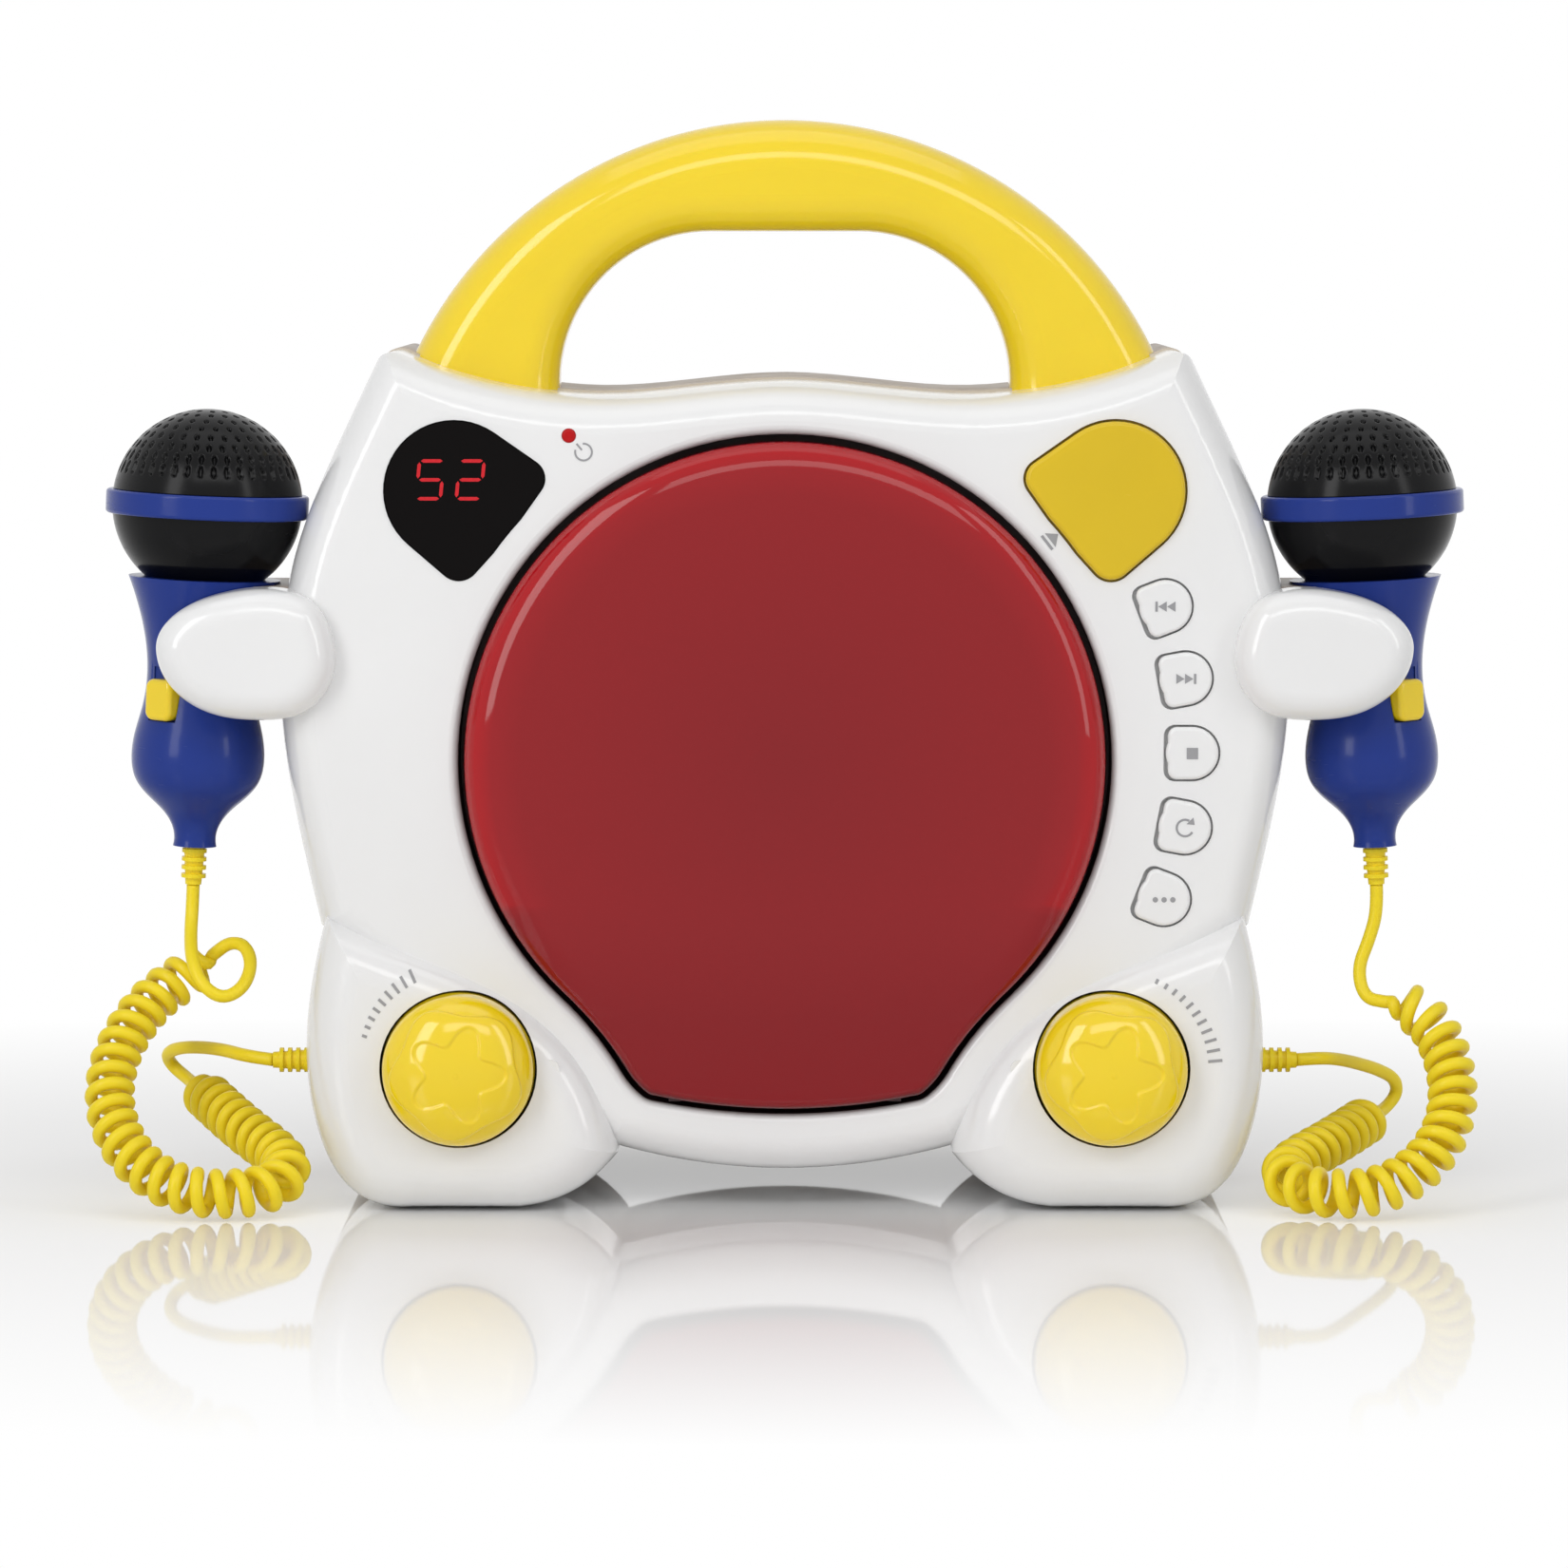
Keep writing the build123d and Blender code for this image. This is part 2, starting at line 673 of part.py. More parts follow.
# ================================================================ handle and holders
def bow(grow, y_back, y_front, outer_round, inner_round):
    """Bow with a flat-topped hand opening, its long edges rounded."""
    opening = SlotCenterToCenter(2 * handle_opening_shift, 2 * (handle_opening_radius + grow))
    face = Pos(0, handle_center_z) * Circle(handle_radius - grow) - Pos(0, handle_opening_z) * opening
    face = face & (Pos(0, handle_foot_z + handle_radius) * Rectangle(3 * handle_radius, 2 * handle_radius))
    form = slab(face, y_back, y_front)

    def level(edge):
        return edge.bounding_box().size.Y < 0.01 and edge.center().Z > handle_foot_z + 1

    middle = (y_back + y_front) / 2
    flats = (y_back - y_front) / 2 - 0.1
    top = form.edges().filter_by(level).filter_by(lambda edge: edge.center().Z > handle_center_z + 94)
    form = fillet(top, outer_round)
    rims = form.edges().filter_by(level).filter_by(lambda edge: abs(edge.center().Y - middle) > flats)
    rim_top = handle_opening_z + handle_opening_radius + grow + 0.5
    rims = rims.filter_by(lambda edge: handle_opening_z < edge.center().Z < rim_top)
    return fillet(rims, inner_round)


def make_handle():
    handle = bow(0, handle_rear_y, handle_front_y, handle_outer_round, handle_inner_round)
    handle -= bow(wall, handle_rear_y - wall, handle_front_y + wall, handle_outer_round - wall,
                  handle_inner_round - wall)
    handle = handle - front_outer - frame_form(0) - rear_outer
    return handle.solids().sort_by(SortBy.VOLUME)[-1]


def make_hand():
    """Rounded front finger of the right microphone holder."""
    face = make_face(Spline(*hand_outline, periodic=True))
    form = slab(face, hand_back_y, hand_front_y)
    form = fillet(edges_at(form, hand_front_y), hand_round)
    form = fillet(edges_at(form, hand_back_y), hand_back_round)
    form = form - front_outer - holder_space
    width, height = mic_switch_size
    room = switch_box(width + 2 * mic_switch_room, -mic_switch_drop - height / 2 - mic_switch_room,
                      -mic_switch_drop + height / 2 + mic_switch_travel + mic_switch_room,
                      mic_switch_floor, mic_switch_rise + mic_switch_room)
    for shift in mic_switch_sweep:
        form -= Pos(shift, 0, 0) * at_switch(room)
    return form.solids().sort_by(SortBy.VOLUME)[-1]


# ================================================================ cover and disc bay
def make_disc_well():
    """Dark dish behind the cover, with the two ears of the cover's hinge."""
    flange_front = front_face_y + wall
    face = lid_face(lid_gap)
    dish = slab(lid_face(lid_gap + well_wall), well_floor_y + well_wall, flange_front)
    flange = slab(lid_face(lid_gap + well_flange), flange_front + well_wall, flange_front)
    well = dish + flange - slab(face, well_floor_y, flange_front - 1)
    for side in (-1, 1):
        x_range = sorted((side * hinge_ear_x, side * (hinge_ear_x + hinge_ear_width)))
        arm = block(x_range, (hinge_y, well_floor_y + well_wall / 2),
                    (hinge_z - hinge_ear_radius, hinge_z + hinge_ear_radius))
        eye = Plane(origin=(x_range[0], hinge_y, hinge_z), z_dir=(1, 0, 0)) * Circle(hinge_ear_radius)
        well += arm + extrude(eye, hinge_ear_width)
    well = well & front_inner
    bore = Plane(origin=(-hinge_ear_x - 5, hinge_y, hinge_z), z_dir=(1, 0, 0)) * Circle(hinge_pin_radius)
    well -= extrude(bore, 2 * hinge_ear_x + 10)
    cx, cz = lid_center
    low = cz - sled_near_radius - sled_travel - sled_height / 2 - slot_margin
    high = cz - sled_near_radius + sled_height / 2 + slot_margin
    slot = RectangleRounded(sled_width + 2 * slot_margin, high - low, 3)
    well -= slab(Pos(cx, (high + low) / 2) * slot, well_floor_y + well_wall + 1, well_floor_y - 1)
    well -= rod(cx, cz, hub_shaft_radius + 3, well_floor_y + well_wall + 1, well_floor_y - 1)
    return well


def domed(grow, crown_y, y_back):
    """Cover form with a shallow spherical crown."""
    cx, cz = lid_center
    sphere_radius = lid_radius ** 2 / (2 * lid_crown) + lid_crown / 2
    form = slab(lid_face(grow), y_back, crown_y - 1)
    return form & (Pos(cx, crown_y + sphere_radius, cz) * Sphere(sphere_radius))


def make_lid():
    """Domed cover with a skirt and two hinge barrels inside its tail."""
    form = domed(0, lid_crown_y, lid_rim_y)
    front = form.edges().filter_by(lambda edge: edge.center().Y < lid_rim_y - 3)
    front = front.filter_by(lambda edge: edge.bounding_box().size.X > 4)
    form = fillet(front, lid_edge_round)
    lid = form - domed(-lid_wall, lid_crown_y + lid_wall, lid_rim_y + 1)
    barrel_end = hinge_ear_x - hinge_clearance
    for side in (-1, 1):
        x_range = sorted((side * barrel_end, side * barrel_end * 0.4))
        z_range = (hinge_z - hinge_ear_radius, hinge_z + hinge_ear_radius)
        barrel = block(x_range, (lid_rim_y - 6, hinge_y), z_range)
        eye = Plane(origin=(x_range[0], hinge_y, hinge_z), z_dir=(1, 0, 0)) * Circle(hinge_ear_radius)
        barrel += extrude(eye, x_range[1] - x_range[0])
        lid += barrel & form
        outer = hinge_ear_x + hinge_ear_width + hinge_clearance
        lid -= block(sorted((side * barrel_end, side * outer)), (lid_inner_tail_y, lid_rim_y + 1),
                     (lid_bottom - 2, hinge_z + hinge_ear_radius + hinge_clearance))
    bore = Plane(origin=(-barrel_end - 1, hinge_y, hinge_z), z_dir=(1, 0, 0))
    return lid - extrude(bore * Circle(hinge_pin_radius + running_fit), 2 * barrel_end + 2)


def make_hinge_pin():
    length = 2 * (hinge_ear_x + hinge_ear_width)
    pin = Plane(origin=(-length / 2, hinge_y, hinge_z), z_dir=(1, 0, 0)) * Circle(hinge_pin_radius)
    return extrude(pin, length)


def make_chassis():
    """Plate behind the well with the rail blocks and the motor seats."""
    cx, cz = lid_center
    low, high = cz - chassis_bottom, cz + chassis_top
    plate = slab(Pos(cx, (low + high) / 2) * RectangleRounded(chassis_width, high - low, 6),
                 chassis_y + chassis_thickness, chassis_y)
    window = Rectangle(2 * rail_x + 10, rail_ends[1] - rail_ends[0])
    back = chassis_y + chassis_thickness
    plate -= slab(Pos(cx, (rail_ends[0] + rail_ends[1]) / 2) * window, back + 1, chassis_y - 1)
    for z, outward in ((rail_ends[0], -1), (rail_ends[1], 1)):
        span = sorted((z, z + 4 * outward))
        for side in (-1, 1):
            x = side * rail_x
            plate += block((x - 4, x + 4), (chassis_y, rail_y + 4), span)
            plate -= Pos(x, rail_y, z) * Cylinder(rail_radius, 2 * rail_pocket)
    plate -= rod(cx, cz, hub_shaft_radius + 1, back + 1, chassis_y - 1)
    plate -= rod(-gear_x, gear_z, hub_shaft_radius + 1, back + 1, chassis_y - 1)
    return plate


def make_rails():
    length = rail_ends[1] - rail_ends[0] + 2 * rail_pocket
    middle = (rail_ends[1] + rail_ends[0]) / 2
    return Compound([Pos(side * rail_x, rail_y, middle) * Cylinder(rail_radius, length) for side in (-1, 1)])


def make_sled():
    """Pickup carriage at its inner end, on two rails, with a toothed edge."""
    z = lid_center[1] - sled_near_radius
    half = sled_height / 2
    back = rail_y + 3.0
    sled = block((-sled_width / 2, sled_width / 2), (sled_front_y, back), (z - half, z + half))
    sled = chamfer(sled.edges().filter_by_position(Axis.Y, sled_front_y - 0.1, sled_front_y + 0.1), 1.0)
    for side in (-1, 1):
        sled += block(sorted((side * (sled_width / 2 - 1), side * (rail_x + guide_half))), (rail_y - 3, back),
                      (z - half + 2, z + half - 2))
    for side in (-1, 1):
        sled -= Pos(side * rail_x, rail_y, z) * Cylinder(rail_radius + running_fit, sled_height + 2)
    sled -= rod(0, z + 4, lens_radius + 0.8, sled_front_y + 4, sled_front_y - 1)
    return sled


def make_lens():
    z = lid_center[1] - sled_near_radius + 4
    ring = rod(0, z, lens_radius + 0.8, sled_front_y + 4, sled_front_y + 1.6)
    front_half = block((-5, 5), (sled_front_y - 5, sled_front_y + 2), (z - 5, z + 5))
    bead = Pos(0, sled_front_y + 1.6, z) * Sphere(lens_radius) & front_half
    return ring + bead


def make_gear():
    """Toothed wheel on its motor's shaft, beside the carriage."""
    back = chassis_y + chassis_thickness
    wheel = Circle(gear_radius - 1.5)
    for i in range(gear_teeth):
        wheel += Rot(0, 0, 360 * i / gear_teeth) * Pos(gear_radius - 1.2, 0) * Rectangle(2.4, 1.2)
    gear = slab(Pos(-gear_x, gear_z) * wheel, back + 0.5 + gear_thickness, back + 0.5)
    return gear + rod(-gear_x, gear_z, hub_shaft_radius, back + 0.5 + gear_thickness + 4, back)


def make_sled_motor():
    front = chassis_y + chassis_thickness + 0.5 + gear_thickness + 0.5
    can = rod(-gear_x, gear_z, sled_motor_radius, front + sled_motor_length, front)
    foot = block((-gear_x - 4, -gear_x + 4), (chassis_y + chassis_thickness, front + 3),
                 (gear_z + gear_radius + 1.5, gear_z + gear_radius + 4.5))
    tongue = block((-gear_x - 4, -gear_x + 4), (front, front + 3),
                   (gear_z + sled_motor_radius - 2, gear_z + gear_radius + 4.5))
    return can + foot + tongue - rod(-gear_x, gear_z, hub_shaft_radius + running_fit, front + 5, front - 1)


def make_hub():
    """Turning platter with its disc clamp and shaft."""
    cx, cz = lid_center
    hub = rod(cx, cz, platter_radius, platter_y + platter_thickness, platter_y)
    hub += rod(cx, cz, hub_radius, platter_y, platter_y - hub_length)
    hub = fillet(edges_at(hub, platter_y - hub_length), 1.2)
    for i in range(3):
        angle = radians(90 + 120 * i)
        ball = Sphere(1.3)
        hub += Pos(cx + (hub_radius - 0.7) * cos(angle), platter_y - hub_length / 2,
                   cz + (hub_radius - 0.7) * sin(angle)) * ball
    shaft_end = chassis_y + chassis_thickness + 3
    return hub + rod(cx, cz, hub_shaft_radius, shaft_end, platter_y + platter_thickness)


def make_spindle_motor():
    cx, cz = lid_center
    front = chassis_y + chassis_thickness
    can = rod(cx, cz, spindle_motor_radius, front + spindle_motor_length, front)
    can = fillet(edges_at(can, front + spindle_motor_length), 1.0)
    return can - rod(cx, cz, hub_shaft_radius + running_fit, front + 4, front - 1)


# ================================================================ controls
def make_key(index):
    """Key cap with a retaining lip and a plunger behind it."""
    seat = front_face_y + wall
    cap = slab(key_face(0, key_flat_inset), seat + 1.2, front_face_y - key_proud)
    cap = fillet(edges_at(cap, front_face_y - key_proud), 1.0)
    cap += slab(key_face(key_gap + key_lip), seat + 1.2, seat + 0.2)
    cap += rod(0, 0, 2.0, key_board_y - switch_height - key_travel - 0.3, seat)
    return key_place_in_space(index) * cap


def key_place_in_space(index):
    """The key's place as a move of a solid that was drawn about the origin."""
    angle = key_first_angle - index * key_angle_step
    x = key_ring_radius * cos(radians(angle))
    z = key_ring_center_z + key_ring_radius * sin(radians(angle))
    return Pos(x, 0, z) * Rot(0, -angle, 0)


def make_key_board():
    """Curved board with one push switch behind each key."""
    inner = key_ring_radius - 7.0
    outer = key_ring_radius + key_board_rise
    low = radians(key_first_angle - (len(key_names) - 1) * key_angle_step - key_board_turn)
    high = radians(key_first_angle + key_board_turn)

    def at(radius, angle):
        return (radius * cos(angle), key_ring_center_z + radius * sin(angle))

    middle = (low + high) / 2
    rim = [ThreePointArc(at(outer, low), at(outer, middle), at(outer, high)),
           Line(at(outer, high), at(inner, high)),
           ThreePointArc(at(inner, high), at(inner, middle), at(inner, low)),
           Line(at(inner, low), at(outer, low))]
    board = slab(make_face(Curve() + rim), key_board_y + board_thickness, key_board_y)
    board_back = key_board_y + board_thickness + 1
    for boss in screw_bosses(board_back, key_board_y - 1, screw_post_radius + boss_clearance):
        board -= boss
    for index in range(len(key_names)):
        switch = block((-3, 3), (key_board_y - switch_height + 0.8, key_board_y), (-3, 3))
        switch += rod(0, 0, 1.7, key_board_y, key_board_y - switch_height)
        board += key_place_in_space(index) * switch
    return board


def make_window():
    seat = front_face_y + wall
    plate = slab(window_face(), seat, front_face_y - window_proud)
    plate += slab(window_face(window_lip), seat + 1.0, seat)
    return plate


def make_display_board():
    """Board with the two-digit number module behind the window."""
    board = slab(window_face(-0.6), display_board_y + board_thickness, display_board_y)
    x, z = window_center
    module = block((-x - 10.5, -x + 10.5), (front_face_y + wall + 1.0, display_board_y), (z - 7.5, z + 8.5))
    return board + module


def make_led():
    x, z = led_place
    seat = front_face_y + wall
    led = rod(x, z, led_radius, seat + 3.5, front_face_y - 0.5)
    led = fillet(edges_at(led, front_face_y - 0.5), 0.8)
    return led + rod(x, z, led_radius + led_flange, seat + 1.0, seat)


def make_open_button():
    """Cover button with its retaining lip."""
    face = mirror(window_face(), Plane.YZ)
    seat = front_face_y + wall
    cap = slab(face, seat + 1.4, front_face_y - button_proud)
    cap = fillet(edges_at(cap, front_face_y - button_proud), 1.2)
    lip = slab(mirror(window_face(button_gap + 1.2), Plane.YZ), seat + 1.4, seat + 0.3)
    return cap + lip


def knob_dome_form(radius, rim_y, height):
    """Cap whose side is a steep oval and whose top is gently round."""
    profile = Spline((radius, -rim_y), (radius * 0.93, -rim_y + height * 0.36),
                     (radius * 0.62, -rim_y + height * 0.8), (0, -rim_y + height),
                     tangents=[(0, 1), (-1, 0)])
    base = Polyline((0, -rim_y + height), (0, -knob_skirt_y), (radius, -knob_skirt_y), (radius, -rim_y))
    return revolve(Plane.XZ * make_face(Curve() + [profile, base]), Axis.Z)


def make_knob():
    """Hollow domed knob with a socket for its shaft, drawn about +Z then turned to the front."""
    outer = knob_dome_form(knob_radius, knob_rim_y, knob_dome)
    cavity = knob_dome_form(knob_radius - knob_wall, knob_rim_y, knob_dome - knob_wall)
    cavity += Pos(0, 0, -knob_skirt_y) * Cylinder(knob_radius - knob_wall, 2)
    knob = outer - cavity
    depth = -knob_rim_y + knob_dome - knob_wall
    socket = Pos(0, 0, (depth - knob_skirt_y) / 2) * Cylinder(knob_socket_radius, depth + knob_skirt_y)
    knob += socket & outer
    bore_top = -knob_shaft_front_y
    knob -= Pos(0, 0, (bore_top - knob_skirt_y) / 2) * Cylinder(knob_shaft_radius, bore_top + knob_skirt_y)
    return Pos(knob_center[0], 0, knob_center[1]) * Rot(90, 0, 0) * knob


def make_knob_shaft():
    return rod(*knob_center, knob_shaft_radius, pot_y + 3, knob_shaft_front_y)


def make_pots():
    """Potentiometer bodies on their small boards, behind the two knobs."""
    pots = []
    for side in (-1, 1):
        x, z = side * knob_center[0], knob_center[1]
        width, height, depth = pot_size
        board = block((x - pot_board[0] / 2, x + pot_board[0] / 2), (pot_y, pot_y + board_thickness),
                      (z - pot_board[1] / 2, z + pot_board[1] / 2))
        body = block((x - width / 2, x + width / 2), (pot_y, pot_y + depth), (z - height / 2, z + height / 2))
        bush = rod(x, z, knob_shaft_radius + 1.4, pot_y, pot_y - 5)
        pots.append(board + body + bush - rod(x, z, knob_shaft_radius + running_fit, pot_y + 3, pot_y - 6))
    return Compound(pots)


# ================================================================ electronics
def make_main_board():
    width, height = main_board_size
    front = main_board_y
    board = block((-width / 2, width / 2), (front, front + board_thickness),
                  (main_board_z - height / 2, main_board_z + height / 2))
    chips = [(-30, 6, 14, 14, 2.0), (4, 8, 18, 10, 2.2), (34, -6, 12, 9, 2.0), (-8, -12, 9, 9, 1.8)]
    for x, dz, w, h, t in chips:
        z = main_board_z + dz
        board += block((x - w / 2, x + w / 2), (front - t, front), (z - h / 2, z + h / 2))
    for x, z, r, t in [(-44, -10, 4, 10), (24, 14, 4, 10), (44, 12, 5, 12), (-20, -14, 2.5, 7)]:
        board += rod(x, main_board_z + z, r, front, front - t)
    return board


def make_speaker():
    """Loudspeaker: basket ring, cone and magnet, facing the back."""
    z = speaker_center_z
    seat = rear_face_y - wall
    ring = rod(0, z, speaker_radius, seat, seat - 3)
    outside = [(speaker_radius - 2, 0), (speaker_radius - 2, -3), (16, -14), (16, -18), (0, -18)]
    inside = [(0, -13), (12, -12), (speaker_radius - 8, 0)]
    cone = make_face(Polyline(*outside, *inside, close=True))
    basket = Pos(0, seat, z) * Rot(-90, 0, 0) * revolve(Plane.XZ * cone, Axis.Z)
    magnet = rod(0, z, 18, seat - 18, seat - speaker_depth)
    return ring - rod(0, z, speaker_radius - 8, seat + 1, seat - 4) + basket + magnet


def make_jack():
    x, z = jack_place
    barrel = rod(x, z, jack_radius - 0.05, rear_face_y, rear_face_y - 12)
    collar = rod(x, z, jack_radius + 1.6, rear_face_y - wall, rear_face_y - wall - 2)
    pin = rod(x, z, 0.9, rear_face_y - 1.5, rear_face_y - 9.5)
    return barrel + collar - rod(x, z, 2.9, rear_face_y + 1, rear_face_y - 9) + pin


# ================================================================ microphones
def ball_shell(low, high, radius, thickness):
    """Part of the ball between two heights above its middle."""
    shell = Sphere(radius) - Sphere(radius - thickness)
    keep = Pos(0, 0, (low + high) / 2) * Cylinder(2 * radius, high - low)
    seat = Cylinder(2 * radius, 2 * ring_half_height) - Cylinder(ring_inner_radius, 40)
    return (shell & keep) - seat


def make_grille():
    return mic_plane * ball_shell(0, ball_radius + 1, ball_radius, ball_wall)


def make_ring():
    ring = Cylinder(ring_radius, 2 * ring_half_height)
    ring = fillet(ring.edges().filter_by(GeomType.CIRCLE), 0.8)
    return mic_plane * (ring - Cylinder(ring_inner_radius, 2 * ring_half_height + 2))


def make_bowl():
    bowl = ball_shell(-bowl_bottom, 0, ball_radius, ball_wall)
    floor_radius = sqrt(ball_radius ** 2 - bowl_bottom ** 2)
    bowl += Pos(0, 0, -bowl_bottom + ball_wall / 2) * Cylinder(floor_radius, ball_wall)
    bowl += Pos(0, 0, -bowl_bottom / 2) * Cylinder(3.0, bowl_bottom)
    return mic_plane * bowl


def make_capsule():
    capsule = Cylinder(capsule_radius, capsule_height)
    capsule = fillet(capsule.edges().filter_by(GeomType.CIRCLE), 0.8)
    return mic_plane * (Pos(0, 0, capsule_height / 2) * capsule)


def make_grip():
    """Hollow handle of the microphone with a pocket for its switch."""
    top = Pos(0, 0, -collar_drop) * Cylinder(bowl_seat_radius, 2 * (bowl_bottom - collar_drop))
    grip = grip_solid - mic_plane * top
    inner = spun(grip_half(-grip_wall))
    inner = inner & mic_plane * (Pos(0, 0, -collar_drop - grip_wall - 40) * Cylinder(40, 74))
    grip -= inner
    width, height = mic_switch_size
    low = -mic_switch_drop - height / 2 - mic_switch_gap
    high = -mic_switch_drop + height / 2 + mic_switch_travel + mic_switch_gap
    pocket = switch_box(width + 2 * mic_switch_gap, low, high, mic_switch_floor, 2 * ball_radius)
    floor_plate = switch_box(width + 3, low - 1.5, high + 1.5, mic_switch_floor - 1.4, mic_switch_floor)
    return grip + at_switch(floor_plate) - at_switch(pocket)


def make_mic_switch():
    width, height = mic_switch_size
    low = -mic_switch_drop - height / 2
    switch = switch_box(width, low, low + height, mic_switch_floor, mic_switch_rise)
    switch = fillet(switch.edges().filter_by(Axis.X), mic_switch_corner)
    return at_switch(fillet(switch.faces().sort_by(Axis.X)[-1].edges(), mic_switch_edge))


# ================================================================ cords
def ribbed_relief(length, radius, neck):
    """Tapered strain relief along +Z from the origin, with square ribs."""
    body = Cone(radius * 0.86, wire_radius + 0.35, length)
    relief = Pos(0, 0, length / 2) * body
    step = length / (relief_ribs + 0.6)
    for rib in range(relief_ribs):
        relief += Pos(0, 0, step * (rib + 0.55)) * Cylinder(radius, step * 0.46)
    if neck:
        relief += Pos(0, 0, -neck / 2) * Cylinder(relief_neck_radius, neck)
        relief += Pos(0, 0, -neck - relief_collar / 2) * Cylinder(radius, relief_collar)
    return relief


def make_mic_relief():
    relief = ribbed_relief(relief_length, relief_radius, 0)
    return mic_plane * Pos(0, 0, -neck_drop) * Rot(180, 0, 0) * relief


def make_cord_relief():
    relief = ribbed_relief(relief_length - relief_standoff, relief_radius, wall + relief_slack)
    return Pos(pod_side_x + relief_standoff, relief_y, relief_z) * Rot(0, 90, 0) * relief


def bend_radii(points):
    """Largest fair arc at each corner of a route."""
    radii = []
    for before, here, after in zip(points, points[1:], points[2:]):
        first, second = here - before, after - here
        turn = radians(first.get_angle(second))
        radii.append(0.45 * min(first.length, second.length) / tan(turn / 2))
    return radii


def cord_path(route, name):
    """Straight runs joined by tangent arcs."""
    points = [Vector(*point) for point in route]
    radii = bend_radii(points)
    print(name, "bend radii", " ".join(f"{radius:.1f}" for radius in radii))
    return FilletPolyline(*points, radius=radii)


def plain_cord(route, name):
    path = cord_path(route, name)
    tube = sweep(Plane(origin=path @ 0, z_dir=path % 0) * Circle(wire_radius), path=path)
    expected = pi * wire_radius ** 2 * path.length
    print(f"{name} length {path.length:.1f} volume {tube.volume:.1f} expected {expected:.1f}")
    return tube


def biarc(start, start_way, end, end_way):
    """Two tangent arcs from one directed point to another."""
    gap, ways = end - start, start_way + end_way
    spread = 2 * (1 - start_way.dot(end_way))
    if spread < 1e-7:
        return [Line(start, end)]
    along = gap.dot(ways)
    reach = (sqrt(along ** 2 + spread * gap.dot(gap)) - along) / spread
    first, second = start + start_way * reach, end - end_way * reach
    middle = (first + second) * 0.5
    middle_way = (second - first).normalized()
    return [TangentArc(start, middle, tangent=start_way), TangentArc(middle, end, tangent=middle_way)]


def curl_stations(spine, straight):
    """Places along the spine of each quarter turn; curls fan out where the spine bends."""
    step = 0.25
    count = ceil((spine.length - 2 * straight) / step)
    step = (spine.length - 2 * straight) / count
    quarters = [0.0]
    for i in range(count):
        here = straight + (i + 0.5) * step
        before = spine.tangent_at(here - 1.5, PositionMode.LENGTH)
        after = spine.tangent_at(here + 1.5, PositionMode.LENGTH)
        bend = radians(before.get_angle(after)) / 3.0
        least = (2 * wire_radius + curl_least_gap) / max(1 - curl_radius * bend, 0.3)
        quarters.append(quarters[-1] + 4 * step / max(curl_pitch, least))
    whole = floor(quarters[-1])
    places = []
    for quarter in range(whole + 1):
        target = quarter * quarters[-1] / whole
        i = max(k for k, value in enumerate(quarters) if value <= target + 1e-9)
        i = min(i, count - 1)
        part = (target - quarters[i]) / (quarters[i + 1] - quarters[i])
        places.append(straight + (i + part) * step)
    return places


def curl_path(route, name):
    """One unbroken wire that curls about the route, with straight ends."""
    spine = cord_path(route, name)
    straight = 2 * wire_radius
    places = curl_stations(spine, straight + curl_entry)
    side = (spine % 0).cross(Vector(0, 0, 1)).normalized()
    points, flows = [spine.position_at(straight, PositionMode.LENGTH)], [spine % 0]
    for i, place in enumerate(places):
        way = spine.tangent_at(place, PositionMode.LENGTH)
        side = (side - way * side.dot(way)).normalized()
        other = way.cross(side)
        angle = pi * i / 2
        out = side * cos(angle) + other * sin(angle)
        around = other * cos(angle) - side * sin(angle)
        low, high = max(i - 1, 0), min(i + 1, len(places) - 1)
        rise = (places[high] - places[low]) / (high - low)
        points.append(spine.position_at(place, PositionMode.LENGTH) + out * curl_radius)
        flows.append((way * rise + around * (curl_radius * pi / 2)).normalized())
    points.append(spine.position_at(spine.length - straight, PositionMode.LENGTH))
    flows.append(spine % 1)
    edges = [Line(spine @ 0, points[0])]
    for i in range(len(points) - 1):
        edges += biarc(points[i], flows[i], points[i + 1], flows[i + 1])
    edges.append(Line(points[-1], spine @ 1))
    print(f"{name} curls {len(places) / 4:.1f} spine {spine.length:.1f}")
    return Wire(edges)


def least_gap(path):
    """Least free space between two stretches of the same wire."""
    step = 0.8
    count = int(path.length / step)
    points = [tuple(path.position_at(i * step, PositionMode.LENGTH)) for i in range(count)]
    near = 1e9
    skip = ceil(8 * wire_radius / step)
    for i, (x, y, z) in enumerate(points):
        for u, v, w in points[i + skip:]:
            if abs(u - x) < 6 and abs(v - y) < 6 and abs(w - z) < 6:
                near = min(near, (u - x) ** 2 + (v - y) ** 2 + (w - z) ** 2)
    return sqrt(near) - 2 * wire_radius


def curly_cord(route, name):
    path = curl_path(route, name)
    tube = sweep(Plane(origin=path @ 0, z_dir=path % 0) * Circle(wire_radius), path=path)
    expected = pi * wire_radius ** 2 * path.length
    print(f"{name} wire {path.length:.1f} volume {tube.volume:.1f} expected {expected:.1f}")
    print(f"{name} least gap {least_gap(path):.2f} lowest {tube.bounding_box().min.Z:.2f}")
    return tube


# ================================================================ write every piece
write(make_front_shell(), "front_shell")
write(make_mid_frame(), "mid_frame")
write(make_rear_shell(), "rear_shell")
write(make_battery_door(), "battery_door")
write(make_case_screws(), "case_screws")
write(make_rubber_feet(), "rubber_feet")
write(make_handle(), "carry_handle")
write_pair(make_hand(), "hand")

